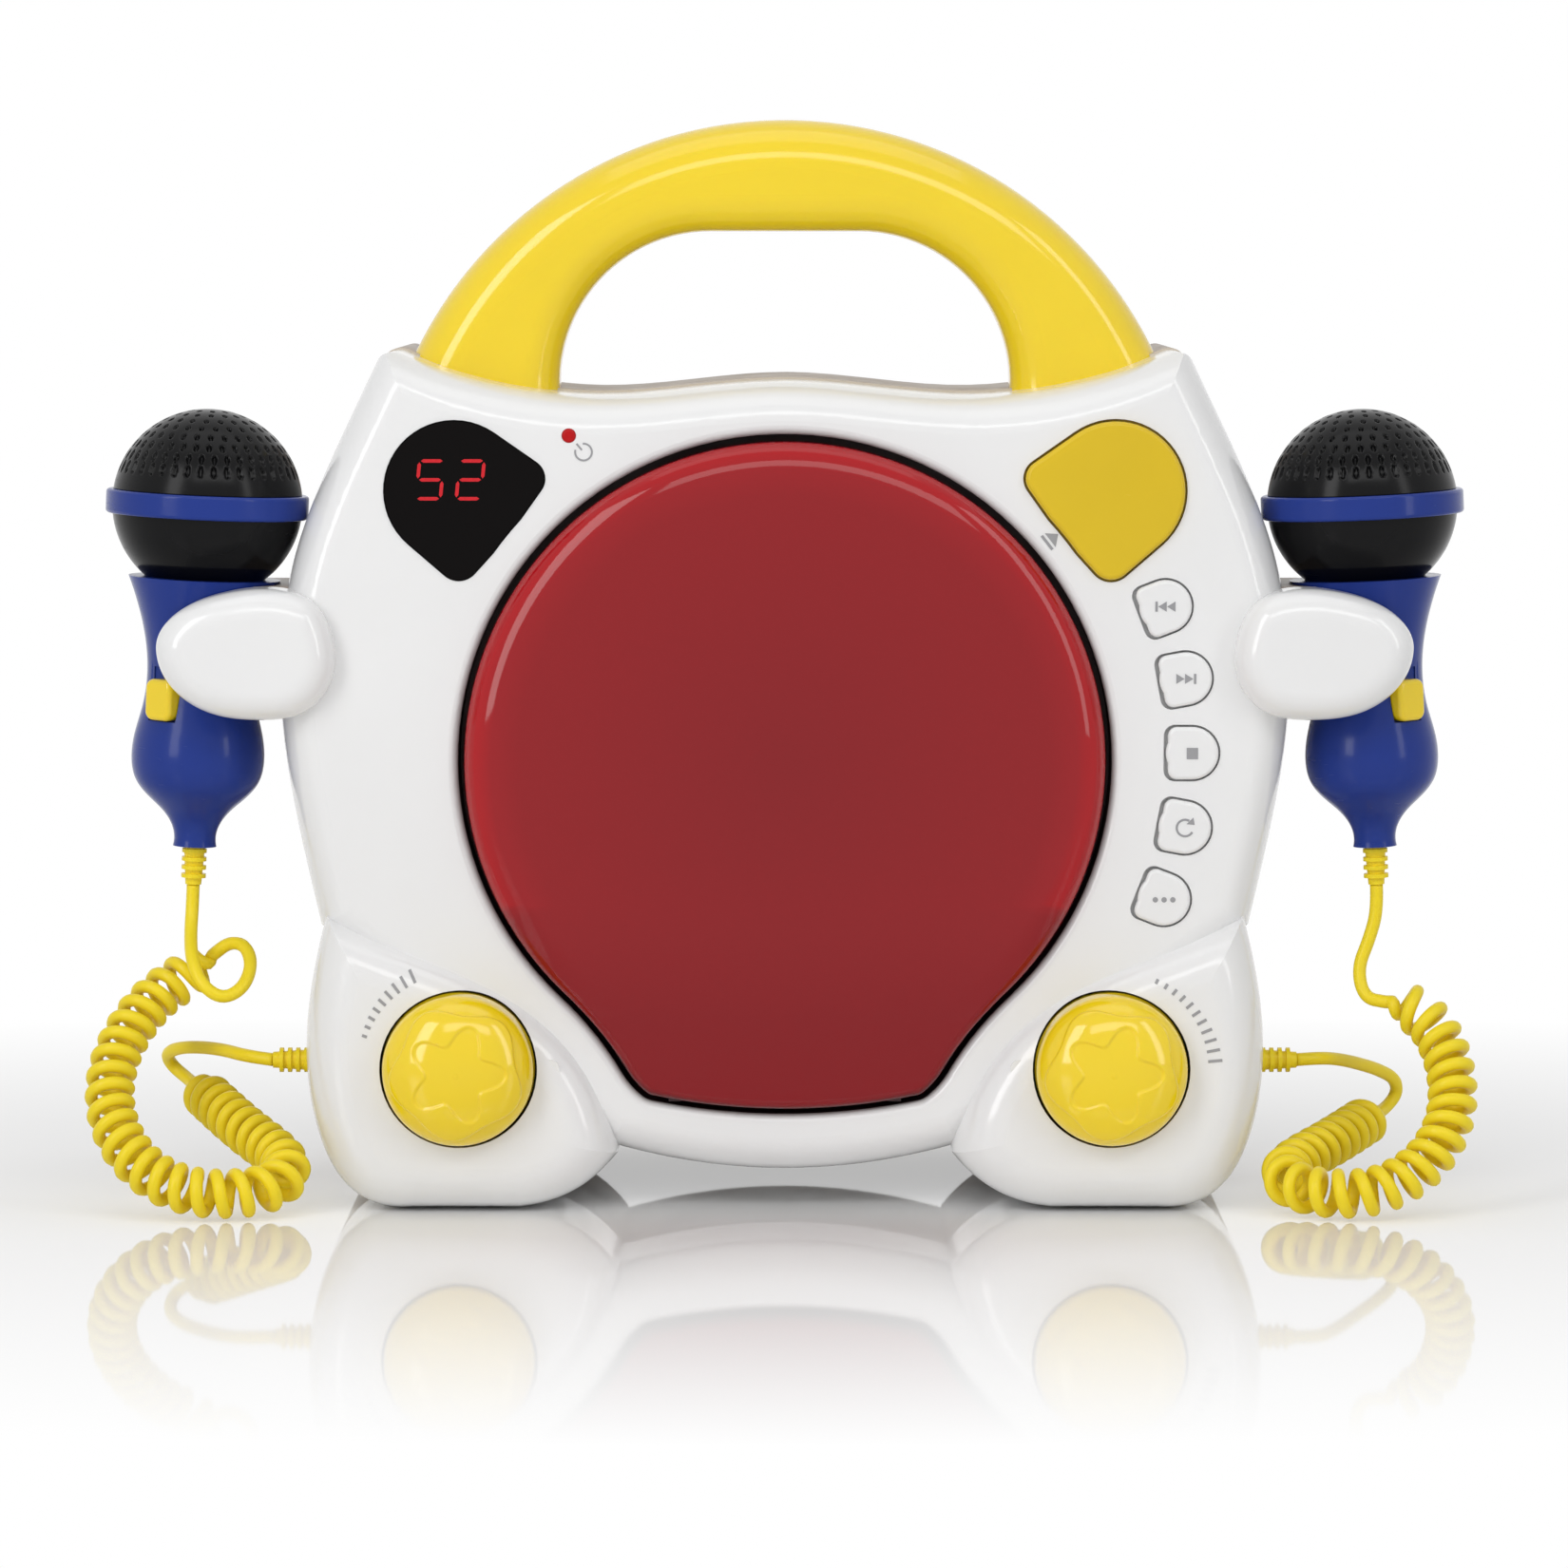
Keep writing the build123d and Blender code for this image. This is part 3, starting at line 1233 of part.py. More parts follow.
write(make_disc_well(), "disc_well")
write(make_lid(), "lid")
write(make_hinge_pin(), "lid_hinge_pin")
write(make_chassis(), "mechanism_chassis")
write(make_rails(), "sled_rails")
write(make_sled(), "laser_sled")
write(make_lens(), "objective_lens")
write(make_gear(), "sled_gear")
write(make_sled_motor(), "sled_motor")
write(make_hub(), "spindle_hub")
write(make_spindle_motor(), "spindle_motor")

for number, key_name in enumerate(key_names):
    write(make_key(number), "key_" + key_name)
write(make_key_board(), "key_board")
write(make_window(), "display_window")
write(make_display_board(), "display_board")
write(make_led(), "power_led")
write(make_open_button(), "open_button")
write_pair(make_knob(), "knob")
write_pair(make_knob_shaft(), "knob_shaft")
write(make_pots(), "knob_pots")

write(make_main_board(), "main_board")
write(make_speaker(), "speaker")
write(make_jack(), "power_jack")

write_pair(make_grille(), "mic_grille")
write_pair(make_ring(), "mic_ring")
write_pair(make_bowl(), "mic_bowl")
write_pair(make_capsule(), "mic_capsule")
write_pair(make_grip(), "mic_grip")
write_pair(make_mic_switch(), "mic_switch")
write_pair(make_mic_relief(), "mic_relief")

cord_relief = make_cord_relief()
write(Compound([cord_relief, mirror(cord_relief, Plane.YZ)]), "cord_reliefs")
write(plain_cord(right_tail, "right tail"), "right_cord_tail")
write(curly_cord(right_curls, "right curls"), "right_cord_curls")
write(plain_cord(right_lead, "right lead"), "right_cord_lead")
write(plain_cord(left_tail, "left tail"), "left_cord_tail")
write(curly_cord(left_curls, "left curls"), "left_cord_curls")
write(plain_cord(left_lead, "left lead"), "left_cord_lead")
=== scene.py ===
"""Looks of an upright karaoke disc player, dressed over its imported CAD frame.

Metres, in the CAD's own frame: X is the width, +Y points to the back, +Z is up.
"""
import json
from math import atan2, cos, hypot, pi, radians, sin

import bmesh
import bpy
import numpy as np
from mathutils import Matrix, Vector
from mathutils.bvhtree import BVHTree

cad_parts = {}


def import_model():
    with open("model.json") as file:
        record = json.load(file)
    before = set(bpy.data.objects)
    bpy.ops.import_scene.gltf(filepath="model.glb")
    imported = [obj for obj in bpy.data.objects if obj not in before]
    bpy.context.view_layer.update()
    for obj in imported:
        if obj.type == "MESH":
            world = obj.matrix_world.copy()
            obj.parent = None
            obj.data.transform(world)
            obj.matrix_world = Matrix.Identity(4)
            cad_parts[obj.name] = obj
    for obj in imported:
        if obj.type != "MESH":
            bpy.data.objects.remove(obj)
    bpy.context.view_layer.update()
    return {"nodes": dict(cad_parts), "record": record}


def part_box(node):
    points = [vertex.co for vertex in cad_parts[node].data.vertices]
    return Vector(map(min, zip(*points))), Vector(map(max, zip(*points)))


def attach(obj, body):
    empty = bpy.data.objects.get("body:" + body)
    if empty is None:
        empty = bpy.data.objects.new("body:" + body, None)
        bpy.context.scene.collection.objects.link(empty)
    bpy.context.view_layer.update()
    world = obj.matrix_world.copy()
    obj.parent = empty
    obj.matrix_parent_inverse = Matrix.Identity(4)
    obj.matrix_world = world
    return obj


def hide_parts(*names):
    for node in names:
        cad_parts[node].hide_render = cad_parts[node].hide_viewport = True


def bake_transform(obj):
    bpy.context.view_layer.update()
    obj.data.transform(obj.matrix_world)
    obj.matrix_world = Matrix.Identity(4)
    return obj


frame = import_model()
nodes = frame["nodes"]

# Measures that the CAD also has, in metres and degrees.
COVER_CENTER = (0.0, 0.1089)
COVER_RADIUS = 0.0768
COVER_FLANK = (-0.0484, -0.0474)
KEY_RING_CENTER_Z = 0.1111
KEY_RING_RADIUS = 0.0975
KEY_FIRST_ANGLE = 21.15
KEY_ANGLE_STEP = 10.58
KNOB_X, KNOB_Z = 0.0783, 0.0354
KNOB_RADIUS = 0.0184
BALL = 0.0230
BALL_INSIDE = 0.0208


# ---------------------------------------------------------------- colours and materials
def linear(red, green, blue):
    """A colour as it looks on screen, as the linear values that a shader takes."""
    return [c / 12.92 if c <= 0.04045 else ((c + 0.055) / 1.055) ** 2.4 for c in (red, green, blue)]


def shade(colour, factor):
    return [min(1.0, c * factor) for c in colour]


class Nodes:
    """Short ways to add and join the nodes of one material."""

    def __init__(self, name):
        self.material = bpy.data.materials.new(name)
        self.material.use_nodes = True
        self.tree = self.material.node_tree
        self.shader = self.tree.nodes["Principled BSDF"]
        self.place = self.add("ShaderNodeTexCoord").outputs["Object"]

    def add(self, kind, **settings):
        node = self.tree.nodes.new(kind)
        for key, value in settings.items():
            setattr(node, key, value)
        return node

    def join(self, output, target):
        self.tree.links.new(output, target)

    def noise(self, scale, detail=3.0, stretch=(1, 1, 1)):
        mapping = self.add("ShaderNodeMapping")
        mapping.inputs["Scale"].default_value = stretch
        self.join(self.place, mapping.inputs["Vector"])
        noise = self.add("ShaderNodeTexNoise")
        noise.inputs["Scale"].default_value = scale
        noise.inputs["Detail"].default_value = detail
        self.join(mapping.outputs["Vector"], noise.inputs["Vector"])
        return noise.outputs["Fac"]

    def ramp(self, source, stops):
        ramp = self.add("ShaderNodeValToRGB")
        points = ramp.color_ramp.elements
        while len(points) < len(stops):
            points.new(0.5)
        for point, (position, colour) in zip(points, stops):
            point.position = position
            point.color = (*colour, 1.0)
        self.join(source, ramp.inputs["Fac"])
        return ramp.outputs["Color"]

    def spread(self, source, low, high, into=(0.3, 0.7)):
        """Source values in the range `into`, spread to low..high."""
        spread = self.add("ShaderNodeMapRange")
        spread.inputs["From Min"].default_value = into[0]
        spread.inputs["From Max"].default_value = into[1]
        spread.inputs["To Min"].default_value = low
        spread.inputs["To Max"].default_value = high
        self.join(source, spread.inputs["Value"])
        return spread.outputs["Result"]

    def math(self, kind, first, second=0.5):
        node = self.add("ShaderNodeMath", operation=kind)
        for source, target in zip((first, second), node.inputs):
            if isinstance(source, (int, float)):
                target.default_value = source
            else:
                self.join(source, target)
        return node.outputs["Value"]

    def along(self, axis):
        split = self.add("ShaderNodeSeparateXYZ")
        self.join(self.place, split.inputs["Vector"])
        return split.outputs[axis]

    def bump(self, layers):
        """Stacks (height, distance in metres) layers on the shader's normal."""
        normal = None
        for height, distance in layers:
            bump = self.add("ShaderNodeBump")
            bump.inputs["Distance"].default_value = distance
            self.join(height, bump.inputs["Height"])
            if normal:
                self.join(normal, bump.inputs["Normal"])
            normal = bump.outputs["Normal"]
        self.join(normal, self.shader.inputs["Normal"])

    def colour(self, output):
        self.join(output, self.shader.inputs["Base Color"])

    def set(self, **values):
        for key, value in values.items():
            self.shader.inputs[key.replace("_", " ")].default_value = value


def moulded(name, colour, rough=(0.18, 0.3), coat=0.0, grain=0.00001, waves=0.00002, vary=0.05, scuffs=0.08,
            **settings):
    """Moulded plastic: flow marks in the colour, uneven gloss, fine scuffs and a faint skin."""
    n = Nodes(name)
    flow = n.noise(16.0, 4.0)
    n.colour(n.ramp(flow, [(0.3, shade(colour, 1 - vary)), (0.7, shade(colour, 1 + vary))]))
    scratch = n.noise(240.0, 2.0, (1, 0.2, 4))
    base = n.spread(n.noise(60.0, 3.0), *rough)
    n.join(n.math("ADD", base, n.spread(scratch, 0.0, scuffs, (0.62, 0.8))), n.shader.inputs["Roughness"])
    n.bump([(n.noise(22.0, 2.0), waves), (n.noise(2600.0, 2.0), grain)])
    if coat:
        n.set(Coat_Weight=coat, Coat_Roughness=0.04)
    n.set(**settings)
    return n.material


def tinted_cover_painted_light(name, center, disc_radius, flank):
    """Tinted red plastic with painted light: a painted highlight makes it a little brighter towards its rim,
    and painted shade makes its flank deep maroon behind a depth.
    """
    n = Nodes(name)
    across = n.math("SUBTRACT", n.along("X"), center[0])
    up = n.math("SUBTRACT", n.along("Z"), center[1])
    square = n.math("ADD", n.math("MULTIPLY", across, across), n.math("MULTIPLY", up, up))
    distance = n.math("DIVIDE", n.math("POWER", square, 0.5), disc_radius)
    drift = n.math("ADD", distance, n.spread(n.noise(9.0, 3.0), -0.02, 0.02))
    # Painted highlight: the brighter rim colours stand in for light caught by the rolled rim, not a different
    # tint.
    deep, middle, edge = linear(0.53, 0.06, 0.09), linear(0.57, 0.065, 0.095), linear(0.70, 0.05, 0.09)
    disc = n.spread(n.along("Z"), 0.0, 1.0, (0.048, 0.075))
    # glow is the painted rim light: the distance from the middle, kept to the round disc.
    glow = n.math("MULTIPLY", drift, disc)
    face = n.ramp(glow, [(0.0, deep), (0.82, middle), (0.91, shade(middle, 1.15)), (0.96, edge)])
    # Painted shade: the flank behind the depth range is mixed to a deep maroon, standing in for the shadow in
    # the gap round the lid.
    mix = n.add("ShaderNodeMix", data_type="RGBA")
    n.join(n.spread(n.along("Y"), 0.0, 1.0, flank), mix.inputs["Factor"])
    n.join(face, mix.inputs[6])
    mix.inputs[7].default_value = (*linear(0.36, 0.05, 0.075), 1)
    n.colour(mix.outputs[2])
    scratch = n.noise(300.0, 2.0, (3, 1, 0.3))
    rough = n.math("ADD", n.spread(n.noise(40.0), 0.035, 0.06), n.spread(scratch, 0.0, 0.03, (0.66, 0.8)))
    n.join(rough, n.shader.inputs["Roughness"])
    roll = n.spread(distance, 0.0, 1.0, (0.90, 1.0))
    shoulder = n.math("MULTIPLY", n.math("MULTIPLY", roll, roll), disc)
    n.bump([(n.math("SUBTRACT", 1.0, shoulder), 0.0028), (n.noise(14.0, 2.0), 0.00002),
            (n.noise(2400.0, 2.0), 0.000003)])
    n.set(Specular_IOR_Level=0.3)
    return n.material


def band_painted_highlights(name, colour, light, joints, width):
    """Taupe plastic band with fine painted highlight lines at the given depths, where its parting edges catch
    the light.
    """
    n = Nodes(name)
    depth = n.along("Y")
    # line masks the painted highlight lines at the joints.
    line = None
    for joint in joints:
        gap = n.math("ABSOLUTE", n.math("SUBTRACT", depth, joint))
        near = n.math("LESS_THAN", gap, width / 2)
        line = near if line is None else n.math("MAXIMUM", line, near)
    flow = n.ramp(n.noise(18.0, 4.0), [(0.3, shade(colour, 0.94)), (0.7, shade(colour, 1.06))])
    mix = n.add("ShaderNodeMix", data_type="RGBA")
    n.join(line, mix.inputs["Factor"])
    n.join(flow, mix.inputs[6])
    # The light colour is a painted highlight along each joint.
    mix.inputs[7].default_value = (*light, 1)
    n.colour(mix.outputs[2])
    n.join(n.spread(n.noise(70.0), 0.34, 0.5), n.shader.inputs["Roughness"])
    n.bump([(n.noise(1500.0, 3.0), 0.00003), (line, 0.0003)])
    return n.material


def brushed(name, colour, rough=(0.22, 0.4)):
    n = Nodes(name)
    lines = n.noise(420.0, 3.0, (0.05, 1, 1))
    n.colour(n.ramp(lines, [(0.3, shade(colour, 0.85)), (0.7, shade(colour, 1.1))]))
    n.join(n.spread(lines, *rough), n.shader.inputs["Roughness"])
    n.bump([(lines, 0.00002)])
    n.set(Metallic=1.0)
    return n.material


def board(name, colour):
    """Circuit board: lacquer over faint tracks."""
    n = Nodes(name)
    tracks = n.add("ShaderNodeTexBrick")
    tracks.inputs["Scale"].default_value = 260.0
    tracks.inputs["Mortar Size"].default_value = 0.05
    tracks.inputs["Color1"].default_value = (*shade(colour, 0.8), 1)
    tracks.inputs["Color2"].default_value = (*colour, 1)
    tracks.inputs["Mortar"].default_value = (*shade(colour, 1.7), 1)
    n.join(n.place, tracks.inputs["Vector"])
    n.colour(tracks.outputs["Color"])
    n.join(n.spread(n.noise(200.0), 0.25, 0.4), n.shader.inputs["Roughness"])
    n.bump([(tracks.outputs["Fac"], 0.00003)])
    return n.material


def lit(name, colour, strength):
    """A lamp or a lit digit, brighter in patches."""
    n = Nodes(name)
    glow = n.ramp(n.noise(900.0), [(0.3, shade(colour, 0.85)), (0.7, colour)])
    n.colour(glow)
    n.join(glow, n.shader.inputs["Emission Color"])
    n.set(Emission_Strength=strength, Roughness=0.3, Specular_IOR_Level=0.15)
    return n.material


WHITE = linear(0.925, 0.925, 0.925)
YELLOW = linear(0.96, 0.835, 0.08)
MARK = linear(0.60, 0.60, 0.61)
skins = {
    "shell_white": moulded("glossy_white", WHITE, (0.12, 0.2), 0.3, 0.000004, 0.00003, 0.015,
                           Specular_IOR_Level=0.4),
    "frame_taupe": moulded("taupe", linear(0.63, 0.58, 0.53), (0.36, 0.5), 0.0, 0.00003),
    "cover_red": tinted_cover_painted_light("tinted_red_painted_light", COVER_CENTER, COVER_RADIUS, COVER_FLANK),
    "bright_yellow": moulded("glossy_yellow", YELLOW, (0.08, 0.13), 0.2, 0.000004, 0.00003, 0.04,
                             Specular_IOR_Level=0.45, Subsurface_Weight=0.12,
                             Subsurface_Radius=(0.004, 0.0025, 0.0006)),
    "button_yellow": moulded("button_yellow", linear(0.87, 0.74, 0.14), (0.16, 0.24), 0.1, 0.000004,
                             Specular_IOR_Level=0.2),
    # Painted shade and a painted reflection of the red lid: the disc well is coloured dark maroon instead of
    # its own plastic colour.
    "well_dark": moulded("well_dark", linear(0.20, 0.10, 0.11), (0.4, 0.55), 0.0, 0.00003),
    "display_dark": moulded("display_dark", linear(0.05, 0.04, 0.04), (0.08, 0.12), 0.0, 0.000002, 0.00001,
                            Specular_IOR_Level=0.06),
    "lamp_clear": lit("lamp_red", linear(0.66, 0.07, 0.08), 0.3),
    "steel": brushed("bright_steel", linear(0.80, 0.80, 0.81)),
    "board_green": board("board_green", linear(0.10, 0.30, 0.17)),
    "module_white": moulded("module_white", linear(0.82, 0.81, 0.78), (0.4, 0.5)),
    "carriage_black": moulded("carriage_black", linear(0.10, 0.10, 0.11), (0.35, 0.5)),
    "lens_glass": moulded("lens_coat", linear(0.30, 0.36, 0.62), (0.03, 0.06), 1.0, 0.000001),
    "gear_white": moulded("gear_white", linear(0.86, 0.86, 0.82), (0.35, 0.5)),
    "speaker_black": moulded("cone_black", linear(0.12, 0.12, 0.12), (0.6, 0.8), 0.0, 0.00006),
    "jack_black": moulded("jack_black", linear(0.08, 0.08, 0.08), (0.4, 0.5)),
    "pad_grey": moulded("pad_rubber", linear(0.30, 0.30, 0.30), (0.7, 0.85), 0.0, 0.00006),
    "microphone_black": moulded("microphone_black", linear(0.05, 0.05, 0.055), (0.16, 0.26), 0.0, 0.000006,
                                Specular_IOR_Level=0.14),
    "microphone_blue": moulded("microphone_blue", linear(0.115, 0.21, 0.53), (0.16, 0.26), 0.1, 0.000006,
                               Specular_IOR_Level=0.16),
    "capsule_metal": brushed("capsule_metal", linear(0.72, 0.72, 0.73)),
    "cord_yellow": moulded("cord_yellow", linear(0.96, 0.86, 0.14), (0.3, 0.42), 0.0, 0.00001, 0.00001, 0.04,
                           Specular_IOR_Level=0.3, Subsurface_Weight=0.1,
                           Subsurface_Radius=(0.002, 0.0015, 0.0004)),
}
marking = moulded("legend_grey", MARK, (0.4, 0.5))
digit_red = lit("digit_red", linear(0.74, 0.14, 0.17), 0.35)

for part in frame["record"]["subparts"]:
    nodes[part["node"]].data.materials.clear()
    nodes[part["node"]].data.materials.append(skins[part["material_slot"]])
# The mid frame gets painted highlight lines at its three joints.
nodes["mid_frame"].data.materials[0] = band_painted_highlights("taupe_band_painted_highlights", linear(0.64, 0.58, 0.53),
                                                    linear(0.80, 0.76, 0.70), (-0.0059, 0.0, 0.0059), 0.0005)


# ---------------------------------------------------------------- mesh helpers
def piece(name, points, faces, body, skin, smooth=True):
    """A mesh object in the row frame that rides on a body."""
    mesh = bpy.data.meshes.new(name)
    mesh.from_pydata([tuple(p) for p in points], [], faces)
    mesh.update()
    form = bmesh.new()
    form.from_mesh(mesh)
    bmesh.ops.recalc_face_normals(form, faces=form.faces)
    form.to_mesh(mesh)
    form.free()
    mesh.polygons.foreach_set("use_smooth", [smooth] * len(mesh.polygons))
    mesh.materials.append(skin)
    obj = bpy.data.objects.new(name, mesh)
    bpy.context.scene.collection.objects.link(obj)
    if body:
        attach(obj, body)
    return obj


def grid_faces(rows, columns, closed=True):
    """Quads of a grid whose columns run round, as indices into row-major points."""
    faces = []
    for r in range(rows - 1):
        for c in range(columns if closed else columns - 1):
            d = (c + 1) % columns
            faces.append((r * columns + c, r * columns + d, (r + 1) * columns + d, (r + 1) * columns + c))
    return faces


def turned(name, profile, segments, place, body, skin, relief=None):
    """Closed solid of revolution about local +Z. The profile starts and ends on the axis.

    relief(radius, height, turn, index) gives an offset along the profile's own normal.
    """
    inner = profile[1:-1]
    points = []
    for i, (radius, height) in enumerate(inner):
        before, after = profile[i], profile[i + 2]
        run = Vector((after[0] - before[0], after[1] - before[1])).normalized()
        normal = (-run.y, run.x)
        for s in range(segments):
            turn = 2 * pi * s / segments
            lift = relief(radius, height, turn, i + 1) if relief else 0.0
            r, z = radius + normal[0] * lift, height + normal[1] * lift
            points.append(place @ Vector((r * cos(turn), r * sin(turn), z)))
    faces = grid_faces(len(inner), segments)
    first, last = len(points), len(points) + 1
    points += [place @ Vector((0, 0, profile[0][1])), place @ Vector((0, 0, profile[-1][1]))]
    end = (len(inner) - 1) * segments
    for s in range(segments):
        t = (s + 1) % segments
        faces += [(first, t, s), (last, end + s, end + t)]
    return piece(name, points, faces, body, skin)


# ---------------------------------------------------------------- marks on the surfaces
def surface_of(node):
    """Finds the front surface of a node under a point of the front view."""
    mesh = nodes[node].data
    tree = BVHTree.FromPolygons([v.co for v in mesh.vertices], [p.vertices for p in mesh.polygons])

    def front(x, z):
        hit = tree.ray_cast(Vector((x, -0.5, z)), Vector((0, 1, 0)))[0]
        return hit.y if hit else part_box(node)[0].y

    return front


def mark(name, outlines, node, body, skin=None, proud=0.00012):
    """Printed marks: closed outlines in (x, z), laid on the front surface of a node."""
    front = surface_of(node)
    points, faces = [], []
    for outline in outlines:
        start, count = len(points), len(outline)
        for lift in (proud, -0.0001):
            points += [(x, front(x, z) - lift, z) for x, z in outline]
        near, far = list(range(start, start + count)), list(range(start + count, start + 2 * count))
        faces += [near, far[::-1]]
        faces += [(near[i], near[(i + 1) % count], far[(i + 1) % count], far[i]) for i in range(count)]
    return piece(name, points, faces, body, skin or marking, smooth=False)


def moved(outlines, x, z, turn=0.0, size=1.0):
    c, s = cos(turn) * size, sin(turn) * size
    return [[(x + c * u - s * v, z + s * u + c * v) for u, v in outline] for outline in outlines]


def strip(points, width):
    """Open line as one closed outline of that width."""
    left, right = [], []
    for i, (x, z) in enumerate(points):
        before, after = points[max(i - 1, 0)], points[min(i + 1, len(points) - 1)]
        run = hypot(after[0] - before[0], after[1] - before[1])
        nx, nz = -(after[1] - before[1]) / run, (after[0] - before[0]) / run
        left.append((x + nx * width / 2, z + nz * width / 2))
        right.append((x - nx * width / 2, z - nz * width / 2))
    return left + right[::-1]


def quads(outline):
    """A strip's outline cut into short four-sided outlines, so that it follows a curved surface."""
    half = len(outline) // 2
    left, right = outline[:half], outline[half:][::-1]
    return [[left[i], left[i + 1], right[i + 1], right[i]] for i in range(half - 1)]


def arc(radius, start, end, count, x=0.0, z=0.0):
    turns = [radians(start + (end - start) * i / (count - 1)) for i in range(count)]
    return [(x + radius * cos(t), z + radius * sin(t)) for t in turns]


TRIANGLE = [(-0.9, -1.15), (1.0, 0.0), (-0.9, 1.15)]
BAR = [(-0.28, -1.15), (0.28, -1.15), (0.28, 1.15), (-0.28, 1.15)]


def shifted(outline, x, z=0.0):
    return [(x + u, z + v) for u, v in outline]


def mirrored(outlines):
    return [[(-x, z) for x, z in reversed(outline)] for outline in outlines]


skip = [shifted(TRIANGLE, -1.3), shifted(TRIANGLE, 0.7), shifted(BAR, 2.1)]
symbols = {
    "forward": skip,
    "back": mirrored(skip),
    "stop": [[(-1.3, -1.3), (1.3, -1.3), (1.3, 1.3), (-1.3, 1.3)]],
    "repeat": quads(strip(arc(1.9, 60, 330, 20), 0.5)) + [[(0.35, 0.9), (1.9, 2.4), (2.2, 0.7)]],
    "mode": [arc(0.62, 0, 345, 24, x, 0.0) for x in (-2.0, 0.0, 2.0)],
}
for index, name in enumerate(("back", "forward", "stop", "repeat", "mode")):
    angle = radians(KEY_FIRST_ANGLE - KEY_ANGLE_STEP * index)
    x, z = KEY_RING_RADIUS * cos(angle), KEY_RING_CENTER_Z + KEY_RING_RADIUS * sin(angle)
    mark("mark_" + name, moved(symbols[name], x, z, 0.0, 0.00105), "key_" + name, name + "_key")

power = quads(strip(arc(2.0, 125, 415, 28), 0.45)) + [strip([(0, 0.6), (0, 2.6)], 0.45)]
mark("mark_power", moved(power, -0.048, 0.1831, radians(40), 0.001), "front_shell", "machine")
eject = [[(-2.1, -0.2), (2.1, -0.2), (0.0, 2.2)],
         [(-2.1, -1.5), (2.1, -1.5), (2.1, -0.8), (-2.1, -0.8)]]
mark("mark_open", moved(eject, 0.0635, 0.1622, radians(-52), 0.001), "front_shell", "machine")


TICK_START = 0.0232
TICK_LEAST = 0.0012
TICK_GROWTH = 0.0022
TICK_WIDTH = 0.0007


def dial_ticks(start, end, count, side):
    """Ticks round a knob that grow longer towards the loud end."""
    ticks = []
    for i in range(count):
        turn = radians(start + (end - start) * i / (count - 1))
        near, far = TICK_START, TICK_START + TICK_LEAST + TICK_GROWTH * i / (count - 1)
        middle = side * KNOB_X, KNOB_Z
        line = [(middle[0] + r * cos(turn), middle[1] + r * sin(turn)) for r in (near, (near + far) / 2, far)]
        ticks += quads(strip(line, TICK_WIDTH))
    return ticks


mark("ticks_left", dial_ticks(160, 116, 9, -1), "front_shell", "machine")
mark("ticks_right", dial_ticks(63, 5, 11, 1), "front_shell", "machine")


# ---------------------------------------------------------------- number display
BAR_HALF_WIDTH = 0.00042
BAR_END_GAP = 0.0003
BAR_TAPER = 0.0009
DIGIT_Z = 0.1765
DIGIT_WIDTH = 0.0058
DIGIT_HEIGHT = 0.0090
DIGIT_SLANT = 0.1


def seven_bars(lit_bars, x, z, width, height, slant):
    """Lit bars of a plain seven-bar number."""
    w, h, t = width / 2, height / 2, BAR_HALF_WIDTH
    lines = {"a": [(-w, h), (w, h)], "b": [(w, h), (w, 0)], "c": [(w, 0), (w, -h)], "d": [(-w, -h), (w, -h)],
             "e": [(-w, 0), (-w, -h)], "f": [(-w, h), (-w, 0)], "g": [(-w, 0), (w, 0)]}
    shapes = []
    for bar in lit_bars:
        (x0, z0), (x1, z1) = lines[bar]
        run = hypot(x1 - x0, z1 - z0)
        ux, uz = (x1 - x0) / run, (z1 - z0) / run
        tips = [(x0 + ux * BAR_END_GAP, z0 + uz * BAR_END_GAP),
                (x1 - ux * BAR_END_GAP, z1 - uz * BAR_END_GAP)]
        near_x, near_z = x0 + ux * BAR_TAPER, z0 + uz * BAR_TAPER
        far_x, far_z = x1 - ux * BAR_TAPER, z1 - uz * BAR_TAPER
        shape = [tips[0], (near_x - uz * t, near_z + ux * t), (far_x - uz * t, far_z + ux * t),
                 tips[1], (far_x + uz * t, far_z - ux * t), (near_x + uz * t, near_z - ux * t)]
        shapes.append([(x + u + slant * v, z + v) for u, v in shape])
    return shapes


digits = []
for lit_bars, digit_x in (("acdfg", -0.0846), ("abged", -0.0750)):
    digits += seven_bars(lit_bars, digit_x, DIGIT_Z, DIGIT_WIDTH, DIGIT_HEIGHT, DIGIT_SLANT)
mark("digits", digits, "display_window", "machine", digit_red, 0.00008)


# ---------------------------------------------------------------- microphones
LEAN = radians(2.64)


def mic_place(side):
    """The microphone's own frame: its origin is the ball's middle and +Z runs up its axis."""
    return Matrix.Translation((side * 0.140, -0.022, 0.1697)) @ Matrix.Rotation(-side * LEAN, 4, "Y")


DOME_ROWS = 150
DOME_SEGMENTS = 440
DIMPLE_ROWS = [(12.0, 9, 0.70), (20.5, 15, 0.70), (28.5, 20, 0.72), (36.0, 25, 0.78), (44.0, 30, 0.90),
               (52.0, 36, 1.05), (60.0, 40, 1.25), (68.0, 42, 1.50)]


DIMPLE_HALF_WIDTH = 0.56
DIMPLE_DEPTH = 0.0010
DIMPLE_FLOOR = 0.8
DIMPLE_WALL = 0.4
DIMPLE_EDGE = 1.2
GRILLE_STEP = [(0.0222, 0.0029), (0.0222, 0.0002), (0.0214, 0.0002)]


